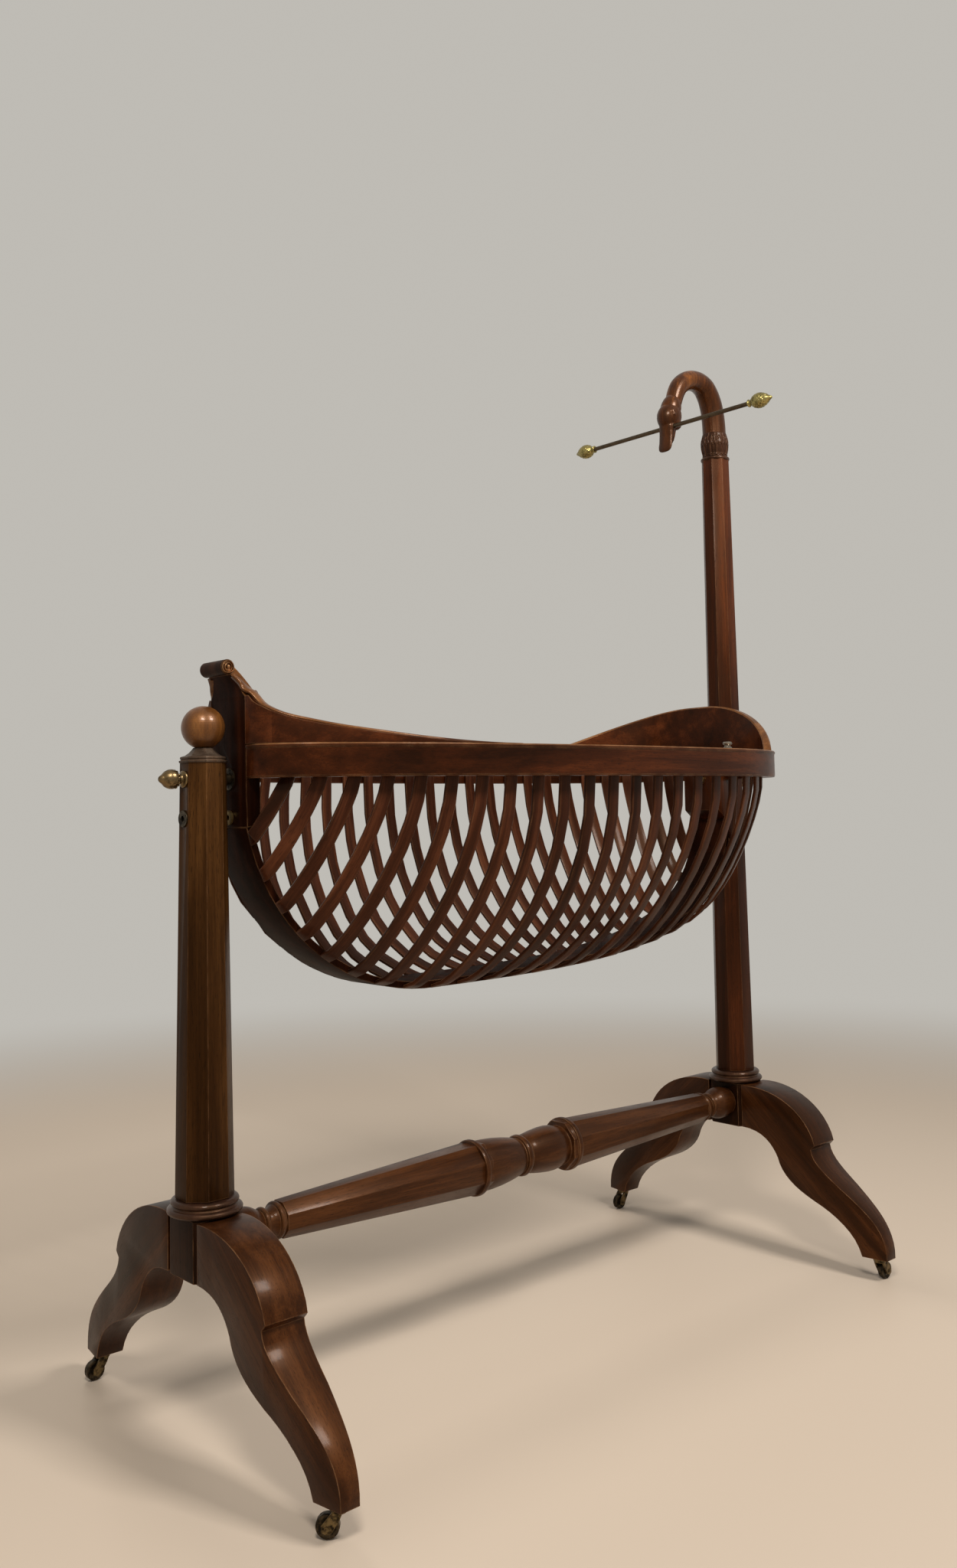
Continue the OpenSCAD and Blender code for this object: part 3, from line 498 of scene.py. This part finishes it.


# Golden faces are painted light: the prow board's shoulder beside its shadowed front, the stern
# board's upward faces and the band's top, with rubbed wear as well
paint_light_and_wear("eased_prow_end_board", lambda c, n: c.z > PROW_SHOULDER_Z and n.x > -0.6)
paint_light_and_wear("eased_stern_top_board", lambda c, n: n.z > 0.3)
paint_light_and_wear("eased_cradle_rim_band", lambda c, n: c.z > BAND_TOP_Z)

# %% Finish the turned pieces where they stand
turned_pieces = {
    "left_base_ring": dark_turned, "right_base_ring": dark_turned, "ball_finial": amber,
    "right_post_collar": dark_turned, "stretcher_collar_left": stretcher_wood,
    "stretcher_collar_right": stretcher_wood, "left_pivot_bolt": bolt_brass,
    "right_pivot_bolt": bolt_brass, "post_lock_bush": wheel_dark, "caster_plates": castor_brass,
    "prow_pivot_bush": wheel_dark, "stern_pivot_bush": bolt_brass,
    "cradle_lock_bush": bolt_brass, "rim_curtain_knob": silvered, "curtain_rod_bar": rod_brass,
}
for number in "1234":
    turned_pieces["caster_fork_" + number] = castor_brass
    turned_pieces["caster_wheel_" + number] = wheel_dark
for node, finish in turned_pieces.items():
    shell = nodes[node]
    shell.data.materials.clear()
    shell.data.materials.append(finish)
print("finished in place:", len(turned_pieces))

# %% [markdown]
# ## The slats
# Forty-eight thin slats run from the rail down to the keel, each one twisted and
# bent to lie on the hull. The grain of a bent slat follows the bend, so the
# pattern can't be read from plain coordinates. Each slat is given a map of its
# own: one direction is how far down the slat a point is, the other how far it
# is from the slat's middle line.

# %% Slats with grain that follows the bend
NEXT_SLAT = (0.31, 0.17)  # how far the map moves on, so that no two slats share a figure


def slat_islands(mesh):
    """The separate slats, always in the same order: a dict keeps the order of the verts."""
    left, groups = dict.fromkeys(mesh.verts), []
    while left:
        stack, group = [left.popitem()[0]], []
        while stack:
            vertex = stack.pop()
            group.append(vertex)
            for edge in vertex.link_edges:
                other = edge.other_vert(vertex)
                if other in left:
                    del left[other]
                    stack.append(other)
        groups.append(group)
    return groups


def map_grain(piece):
    mesh = bmesh.new()
    mesh.from_mesh(piece.data)
    layer = mesh.loops.layers.uv.new("grain")
    place = {}
    groups = slat_islands(mesh)
    for number, group in enumerate(groups):
        at = np.array([v.co for v in group])
        down = (at[:, 2].max() - at[:, 2]) + (np.abs(at[:, 1]).max() - np.abs(at[:, 1]))
        middle = np.polyval(np.polyfit(down, at[:, 0], 5), down)
        for vertex, x, z in zip(group, at[:, 0] - middle, down):
            place[vertex] = (x + NEXT_SLAT[0] * number, z + NEXT_SLAT[1] * number)
    for face in mesh.faces:
        for loop in face.loops:
            loop[layer].uv = place[loop.vert]
    mesh.to_mesh(piece.data)
    mesh.free()
    return len(groups)


for node in ("slats_front_fore", "slats_front_aft", "slats_back_fore", "slats_back_aft"):
    piece = eased(node, slat_wood, 0.7 * MM, 2, 40)
    print(node, map_grain(piece), "slats")

# %% [markdown]
# ## The swan
# Above the tall post the carver cut a swan that bends down and holds the curtain
# rod in its beak. A carved form has no flat faces, so it is built the way a
# sculptor presses clay together: a thick curve for the neck, rounded lumps for
# the crown, the cheeks and the two halves of the beak, then one remesh that
# melts the seams. Extruding a single skin would need many more careful loops.

# %% Helpers: a lump that grows section by section, a turn, and a pebble
def grown(name, base, sections, sides):
    """sections: distance down from the base, breadth along x, breadth along y, in mm."""
    bpy.ops.object.select_all(action="DESELECT")
    bpy.ops.mesh.primitive_circle_add(vertices=sides, radius=0.5 * MM, fill_type="NGON",
                                      location=base)
    piece = bpy.context.active_object
    piece.name = name
    bpy.ops.object.transform_apply(location=True)
    bpy.ops.object.mode_set(mode="EDIT")
    bpy.ops.mesh.select_all(action="SELECT")
    height, broad, wide = sections[0]
    here = Vector(base) - Vector((0, 0, height * MM))
    bpy.ops.transform.resize(value=(broad, wide, 1), center_override=tuple(here))
    if height:
        bpy.ops.transform.translate(value=(0, 0, -height * MM))
    for down, x_size, y_size in sections[1:]:
        bpy.ops.mesh.extrude_region_move(TRANSFORM_OT_translate={
            "value": (0, 0, (height - down) * MM)})
        here = Vector(base) - Vector((0, 0, down * MM))
        bpy.ops.transform.resize(value=(x_size / broad, y_size / wide, 1),
                                 center_override=tuple(here))
        height, broad, wide = down, x_size, y_size
    faces_outwards(piece)
    return piece


def turned(piece, degrees, about, axis="Y"):
    """Turns a finished lump about a point; the mesh itself moves, not the object."""
    edit(piece)
    bpy.ops.mesh.select_all(action="SELECT")
    bpy.ops.transform.rotate(value=math.radians(-degrees), orient_axis=axis,
                             center_override=tuple(about))
    bpy.ops.object.mode_set(mode="OBJECT")
    return piece


def pebble(name, place, size, tilt=0):
    """size: half its breadth along x, y and z, in mm."""
    bpy.ops.object.select_all(action="DESELECT")
    bpy.ops.mesh.primitive_uv_sphere_add(segments=32, ring_count=20, radius=MM, location=place)
    piece = bpy.context.active_object
    piece.name = name
    piece.scale = size
    piece.rotation_euler = (0, math.radians(tilt), 0)
    bpy.ops.object.transform_apply(location=True, rotation=True, scale=True)
    return piece


print("lumps can be grown, turned and rounded")

# %% The neck as a thick curve
POST_X, POST_TOP = 0.575, 1.503


def crook(back, up, side=0):
    """A place on the swan, in mm from the middle of the tall post's top."""
    return Vector((POST_X - back * MM, side * MM, POST_TOP + up * MM))


neck_bends = [  # point, handle before, handle after, half thickness in mm
    (crook(0, 50), crook(0, 40), crook(0, 90), 23.2),
    (crook(28, 142), crook(6, 122), crook(50, 157), 21.6),
    (crook(105, 131), crook(83, 152), crook(120, 115), 17.6),
    (crook(132, 75), crook(123, 95), crook(139, 60), 15.4),
    (crook(139, 55), crook(136, 62), crook(141, 50), 16),
]
bpy.ops.object.select_all(action="DESELECT")
bpy.ops.curve.primitive_bezier_curve_add(location=(0, 0, 0))
neck = bpy.context.active_object
neck.name = "carved_swan"
spline = neck.data.splines[0]
spline.bezier_points.add(len(neck_bends) - len(spline.bezier_points))
for point, (at, before, after, half) in zip(spline.bezier_points, neck_bends):
    point.handle_left_type = point.handle_right_type = "FREE"
    point.co, point.handle_left, point.handle_right, point.radius = at, before, after, half
spline.radius_interpolation = "BSPLINE"
neck.data.bevel_depth, neck.data.bevel_resolution = MM, 9
neck.data.resolution_u, neck.data.use_fill_caps = 18, True
bpy.ops.object.convert(target="MESH")
print("neck faces:", len(neck.data.polygons))

# %% Head and beak, melted into the neck
root = crook(143.5, 45)
lower_root = root + Vector((9.5 * MM, 0, 0))
upper = grown("upper_beak", root, [
    (-6, 27, 36), (4, 25, 36), (12, 19, 34), (22, 13.5, 33), (33, 10.8, 31.5), (42, 9.2, 32),
    (48, 8, 29.5), (51.5, 6, 23), (53, 3.4, 14)], 32)
turned(upper, 12, root)
lower = grown("lower_beak", lower_root, [
    (-6, 14, 26), (8, 11, 25), (20, 7.5, 22.5), (28, 5, 19), (33, 3, 12)], 32)
turned(lower, 8, root)
lumps = [neck, upper, lower, pebble("crown", crook(138, 64), (24.4, 22.8, 28), 22),
         pebble("nape", crook(133, 80), (20.5, 19.5, 31), 20)]
for side in (-1, 1):
    lumps.append(pebble("cheek", crook(134, 50, 10 * side), (15, 11.5, 13), 16))
    lumps.append(pebble("brow", crook(145, 68, 14 * side), (9.5, 7.5, 9), 20))
    lumps.append(pebble("eye", crook(146.5, 63.5, 20.2 * side), (3.6, 2.6, 3.6)))
bpy.ops.object.select_all(action="DESELECT")
for lump in lumps:
    lump.select_set(True)
bpy.context.view_layer.objects.active = neck
bpy.ops.object.join()
shaped(neck, "REMESH", mode="VOXEL", voxel_size=1.05 * MM)
shaped(neck, "SMOOTH", factor=0.5, iterations=5)
print("swan faces before the hole:", len(neck.data.polygons))

# %% Drill the beak for the rod
ROD_HOLE_RADIUS = 4.3 * MM
rod_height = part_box("curtain_rod_bar")
rod_middle = (rod_height[0] + rod_height[1]) / 2
bpy.ops.object.select_all(action="DESELECT")
bpy.ops.mesh.primitive_cylinder_add(vertices=48, radius=ROD_HOLE_RADIUS, depth=120 * MM,
                                    location=rod_middle, rotation=(QUARTER_TURN, 0, 0))
drill = bpy.context.active_object
shaped(neck, "BOOLEAN", operation="DIFFERENCE", object=drill)
bpy.data.objects.remove(drill)
bpy.ops.object.shade_smooth()
own(neck, "stand", swan_wood, "swan_neck")
print("swan faces:", len(neck.data.polygons))

# %% [markdown]
# ## The leaf collar
# The swan rises out of a swelling cut with upright leaves, like a tulip. The
# leaves are low relief on a turned core, so the core is grown as rings of small
# faces, the faces inside each pointed outline are raised together, and a thin
# rib is raised again down each leaf's middle.

# %% Carve the leaves
LEAVES = 12
collar_top = Vector((POST_X, 0, POST_TOP + 56 * MM))
rings = [  # distance below the top, thickness, in mm
    (0, 46.6), (3, 47.2), (6, 48.6), (9, 50.4), (12, 52.2), (15, 53.8), (18, 55), (21, 55.8),
    (24, 56.2), (27, 56.2), (30, 55.8), (33, 55), (36, 54), (39, 52.6), (42, 51.2), (45, 49.8),
    (48, 48.6), (50, 48)]
collar = grown("carved_leaf_collar", collar_top, [(z, d, d) for z, d in rings], 96)


def leaf_test(turn, low, high, half_angle):
    """turn and half_angle in degrees round the collar; low and high above the post's top."""
    def test(centre, normal):
        if abs(normal.z) > 0.8:
            return False
        angle = math.degrees(math.atan2(centre.y, centre.x - POST_X)) - turn
        across = abs((angle + 180 / LEAVES) % (360 / LEAVES) - 180 / LEAVES)
        up = (centre.z - POST_TOP - low) / (high - low)
        outline = half_angle * max(0, min(1, 3.2 * up + 0.55)) * (max(0, 1 - up) ** 0.55) * 1.15
        return 0 < up < 1 and across < min(half_angle, outline)
    return test


carving = [  # turn, low, high and half angle as above, then how far it is raised
    (15, 10 * MM, 54.5 * MM, 12, 0.9 * MM),    # the leaves behind
    (0, 7.5 * MM, 47 * MM, 12.5, 1.7 * MM),    # the leaves in front
    (0, 9.5 * MM, 41 * MM, 2.1, 0.7 * MM),     # ribs of the leaves in front
    (15, 30 * MM, 50 * MM, 2.1, 0.6 * MM),     # ribs of the leaves behind
]
for turn, low, high, half_angle, rise in carving:
    edit(collar)
    leaf_faces = pick(collar, leaf_test(turn, low, high, half_angle))
    bpy.ops.mesh.extrude_region_shrink_fatten(TRANSFORM_OT_shrink_fatten={"value": -rise})
    print("leaf faces raised:", leaf_faces)
shaped(collar, "SUBSURF", levels=1, render_levels=1)
settle(collar, 50)
own(collar, "stand", leaf_wood, "swan_leaf_collar")

# %% [markdown]
# ## Bud finials on the rod
# The rod ends in two cast buds covered with scales, like small pine cones. Each
# bud is grown from rings of sixteen faces, the grid is thinned to diamonds by
# taking out every other corner, and every diamond is inset and pushed outwards.

# %% Cast one bud for each end
SCALES_FROM, SCALES_TO = 8.5 * MM, 41.5 * MM
bud_stalk = [(0, 14), (1.6, 15), (3, 12.6), (5.5, 10)]
bud_body = [(8 + 3.1 * k, d) for k, d in enumerate(
    (12, 18, 22.4, 25.2, 26.8, 27.4, 27, 25.6, 23.4, 20.6, 17.2, 13.4))]
bud_tip = [(45.2, 9.6), (48, 7), (50, 4.4), (51.2, 1.4)]


def bud(name, foot, side):
    def on_scales(centre, normal):
        return SCALES_FROM < foot.z - centre.z < SCALES_TO

    piece = grown(name, foot, [(z, d, d) for z, d in bud_stalk + bud_body + bud_tip], 16)
    edit(piece)
    scales = pick(piece, on_scales)
    bpy.ops.mesh.unsubdivide(iterations=1)
    print(name, "scale faces:", scales, "->", pick(piece, on_scales))
    bpy.ops.mesh.inset(thickness=0.5 * MM, depth=0.9 * MM, use_individual=True)
    bpy.ops.object.mode_set(mode="OBJECT")
    shaped(piece, "SUBSURF", levels=2, render_levels=2)
    turned(piece, 90 * side, foot, "X")
    settle(piece, 60)
    return piece


for node, side in (("rod_finial_front", -1), ("rod_finial_back", 1)):
    low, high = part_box(node)
    foot = Vector(((low.x + high.x) / 2, high.y if side < 0 else low.y, (low.z + high.z) / 2))
    own(bud("cast_" + node, foot, side), "rod", finial_brass, node)

# %% [markdown]
# ## Finials on the pivot bolts
# Each pivot bolt ends in a turned brass bud behind a collar of small lobes. The
# bud is a profile spun round the bolt's axis. The lobes are two faces out of
# every three in one ring, pulled outwards.

# %% Start a piece from one point, and spin a profile
def first_point(name, place):
    """A new piece that is one single point, left in edit mode to be drawn out."""
    bpy.ops.object.select_all(action="DESELECT")
    bpy.ops.mesh.primitive_plane_add(size=0.1 * MM, location=place)
    piece = bpy.context.active_object
    piece.name = name
    bpy.ops.object.transform_apply(location=True)
    bpy.ops.object.mode_set(mode="EDIT")
    bpy.ops.mesh.select_mode(type="VERT")
    bpy.ops.mesh.select_all(action="SELECT")
    bpy.ops.mesh.merge(type="CENTER")
    return piece


def spun(name, outline, centre, along, steps):
    """outline: distance from the axis and distance along it, in mm."""
    along = Vector(along)
    aside = along.orthogonal().normalized()
    places = [Vector(centre) + aside * r * MM + along * h * MM for r, h in outline]
    piece = first_point(name, places[0])
    for a, b in zip(places, places[1:]):
        bpy.ops.mesh.extrude_region_move(TRANSFORM_OT_translate={"value": b - a})
    bpy.ops.mesh.select_all(action="SELECT")
    bpy.ops.mesh.spin(steps=steps, angle=math.tau, center=tuple(centre), axis=tuple(along))
    faces_outwards(piece, MERGE)
    return piece


print("profiles can be spun")

# %% Spin the two pivot finials
PIVOT_Z = 0.872
DRAWN_LENGTH = 36
finial_outline = [
    (0, 0), (10.5, 0), (12, 1), (11.4, 2.6), (9, 3.6), (7, 4.6), (6.3, 6.4), (6.6, 8.4),
    (9, 9.6), (12.2, 10.4), (13.4, 12), (12.6, 13.6), (13.2, 15.5), (13.5, 18.5), (13, 22),
    (11.4, 25.6), (8.8, 28.8), (6.4, 30.6), (5.6, 31.8), (4.6, 34), (2.6, 35.6),
    (0, DRAWN_LENGTH)]


def lobe_test(start, stretch):
    def test(centre, normal):
        away = abs(centre.x - start) / MM / stretch
        angle = math.degrees(math.atan2(centre.z - PIVOT_Z, centre.y)) % 30
        return 9.6 < away < 13.6 and angle < 20
    return test


for node, side in (("left_pivot_finial", -1), ("right_pivot_finial", 1)):
    low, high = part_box(node)
    start = high.x if side < 0 else low.x
    stretch = abs(high.x - low.x) / MM / DRAWN_LENGTH
    piece = spun("cast_" + node, [(r, h * stretch) for r, h in finial_outline],
                 (start, 0, PIVOT_Z), (side, 0, 0), 36)
    edit(piece)
    count = pick(piece, lobe_test(start, stretch))
    bpy.ops.mesh.extrude_region_shrink_fatten(TRANSFORM_OT_shrink_fatten={"value": -2.6 * MM})
    shaped(piece, "SUBSURF", levels=1, render_levels=1)
    settle(piece, 45)
    own(piece, "stand", pivot_brass, node)
    print(node, "lobe faces", count)

# %% [markdown]
# ## The scroll and its rosettes
# The prow board ends in a scroll like a rolled sheet, and each end of the roll
# carries a gilt copper rosette of rings round a small boss. Both are spun: the
# roll in wood, the rosette as a thin disc that fills the roll's recess.

# %% Spin the roll and the rosettes
RECESS = 4
low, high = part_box("prow_scroll_roll")
roll_x, roll_z, roll_end = (low.x + high.x) / 2, (low.z + high.z) / 2, high.y / MM
roll_lip = [(0, RECESS), (9.3, RECESS), (9.5, 3.2), (10.1, 3), (10.5, 3.6), (10.5, 6)]
near_lip = [(r, depth - roll_end) for r, depth in roll_lip]
roll_outline = near_lip + [(10.5, 0)] + [(r, -h) for r, h in reversed(near_lip)]
roll = spun("scroll_roll", roll_outline, (roll_x, 0, roll_z), (0, 1, 0), 64)
settle(roll, 40)
# The roll takes the near-black block finish as painted shade: its end stands in shade
own(roll, "cradle", block_wood, "prow_scroll_roll")
rosette_outline = [
    (0, 4.6), (1.5, 4.4), (2.3, 3.7), (2.6, 2.4), (2.8, 0.4), (4.3, 0.4), (4.6, 2.6), (5.2, 3.4),
    (6, 2.8), (6.3, 0.4), (7.5, 0.4), (7.8, 2.4), (8.5, 3.1), (9.25, 2.4), (9.25, -0.5),
    (0, -0.5)]
for side, end in ((-1, "front"), (1, "back")):
    place = (roll_x, side * (roll_end - RECESS) * MM, roll_z)
    rosette = spun("scroll_rosette_" + end, rosette_outline, place, (0, side, 0), 48)
    settle(rosette, 60)
    own(rosette, "cradle", copper_gold)
print("rosettes at y", round(roll_end, 2), "mm")

# %% [markdown]
# ## The turned knop of the stretcher
# Between the two shafts sits a turned knop: a thin flange at each end, a barrel
# that narrows to a little ring in the middle, and a vase that swells towards the
# tall post. It was made on a lathe, and a spun outline is the lathe's own way.

# %% Turn the knop
low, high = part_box("stretcher_knop")
knop_outline = [
    (0, -108), (39, -108), (42, -107), (43, -104.5), (43, -101), (42, -98.5), (39.4, -97.5),
    (38.2, -96), (38, -93), (38.6, -90), (38.4, -75), (37, -55), (34.6, -36), (31.6, -20),
    (29.6, -12), (28.4, -9.5), (27.6, -8), (27.8, -6.5), (31, -5.5), (32.4, -3), (32.6, 0),
    (31.8, 2.5), (29.6, 4), (28, 5.5), (28, 7.5), (29.6, 10), (31.6, 18), (34, 34), (35.8, 52),
    (36, 64), (34.8, 74), (32.2, 82), (31, 86), (31.6, 89), (34.4, 91.5), (37, 93), (38.6, 95.4),
    (40, 97.4), (42.4, 98.4), (43, 101), (43, 104.5), (42, 107), (39, 108), (0, 108)]
knop = spun("turned_stretcher_knop", knop_outline, (low + high) / 2, (1, 0, 0), 72)
settle(knop, 32)
own(knop, "stand", stretcher_wood, "stretcher_knop")
print("knop faces:", len(knop.data.polygons))

# %% [markdown]
# ## The golden edge of the boat
# One rounded edge runs from under the scroll down the shoulder of the prow and
# along the top of each side board. Its golden colour is painted light where the
# lamps fall along it, with rubbed wear as well. The boards meet under it, so it
# is swept as one strip over the joint: a flat oval drawn along a smooth path,
# and the other side is its mirror image.

# %% Sweep the edge strips
SINK = 0.9  # mm that the strip is let into the boards
edge_path = [  # x, y, z in mm, size
    (-544, -25.5, 1013.5, 1.2), (-539, -28, 1008.5, 1.4), (-533.5, -31, 1002, 1.5),
    (-530.5, -35.5, 996, 1.45), (-528, -40.5, 992.3, 1.35), (-525, -46, 990.2, 1.2),
    (-522.5, -52, 984, 1.08), (-519.5, -59, 975.5, 1), (-516.5, -66, 970, 1),
    (-512, -74, 965.5, 1), (-506, -81, 961.3, 1), (-500, -87, 958, 1), (-492, -94, 955, 1),
    (-482, -102, 952, 1), (-470, -110, 949, 1), (-455, -119, 945.2, 1), (-435, -129, 941.2, 1),
    (-410, -141, 937.2, 1), (-385, -150.5, 933.8, 1), (-358, -159, 930.2, 1),
    (-330, -167, 927, 0.95), (-300, -175.5, 924.2, 0.9), (-270, -182.5, 921.8, 0.8),
    (-240, -189.5, 919.8, 0.7), (-212, -195.2, 918.2, 0.6), (-185, -200, 917, 0.5)]
bpy.ops.object.select_all(action="DESELECT")
bpy.ops.curve.primitive_bezier_circle_add(radius=MM, location=(0, 0, 0))
oval = bpy.context.active_object
oval.scale = (7.5, 3.0, 1)
bpy.ops.object.transform_apply(location=False, rotation=False, scale=True)
oval.data.resolution_u = 6
for side, end in ((1, "front"), (-1, "back")):
    bpy.ops.object.select_all(action="DESELECT")
    bpy.ops.curve.primitive_nurbs_path_add(location=(0, 0, 0))
    strip = bpy.context.active_object
    strip.name = "golden_edge_" + end
    line = strip.data.splines[0]
    line.points.add(len(edge_path) - len(line.points))
    for point, (x, y, z, size) in zip(line.points, edge_path):
        point.co = (x * MM, side * y * MM, (z - SINK) * MM, 1)
        point.radius = size
    line.order_u, line.use_endpoint_u = 4, True
    strip.data.twist_mode, strip.data.resolution_u = "Z_UP", 5
    strip.data.bevel_mode, strip.data.bevel_object = "OBJECT", oval
    strip.data.use_fill_caps = True
    only(strip)
    bpy.ops.object.convert(target="MESH")
    faces_outwards(strip, MERGE)
    settle(strip, 60)
    # The strip's golden finish is painted light, with rubbed wear
    own(strip, "cradle", golden)
bpy.data.objects.remove(oval)
print("edge strip faces:", len(strip.data.polygons))

# %% [markdown]
# ## The step beside the prow board
# The CAD's side boards start beside the prow board with a small step, which the
# real boat doesn't show. A thin upright sheet fills it: its foot is drawn point
# by point and pulled up as a wall, each top point is set to its own height under
# the golden edge, and the sheet is given its thickness.

# %% Fill the step beside the prow board
CHEEK_FOOT, CHEEK_RISE = 0.9183, 20 * MM
cheek_line = [(-535.7, -44.2, 984), (-534.9, -50, 984.5), (-532.8, -57.5, 976.5),
              (-529.4, -64.5, 971.5), (-525.2, -71, 968), (-519.6, -77.6, 963.5),
              (-513.6, -80.2, 961)]
for side, end in ((1, "front"), (-1, "back")):
    x, y, z = cheek_line[0]
    cheek = first_point("prow_cheek_" + end, (x * MM, side * y * MM, CHEEK_FOOT))
    for a, b in zip(cheek_line, cheek_line[1:]):
        bpy.ops.mesh.extrude_region_move(TRANSFORM_OT_translate={
            "value": ((b[0] - a[0]) * MM, side * (b[1] - a[1]) * MM, 0)})
    bpy.ops.mesh.select_all(action="SELECT")
    bpy.ops.mesh.extrude_region_move(TRANSFORM_OT_translate={"value": (0, 0, CHEEK_RISE)})
    for x, y, z in cheek_line:
        bpy.ops.mesh.select_all(action="DESELECT")
        pick(cheek, lambda at: at.z > CHEEK_FOOT + CHEEK_RISE / 2
             and abs(at.x - x * MM) < 0.1 * MM, "verts")
        bpy.ops.transform.translate(value=(0, 0, z * MM - CHEEK_FOOT - CHEEK_RISE))
    shaped(cheek, "SOLIDIFY", thickness=1.6 * MM, offset=0)
    faces_outwards(cheek)
    settle(cheek, 50)
    own(cheek, "cradle", lengthwise)
print("cheek faces:", len(cheek.data.polygons))
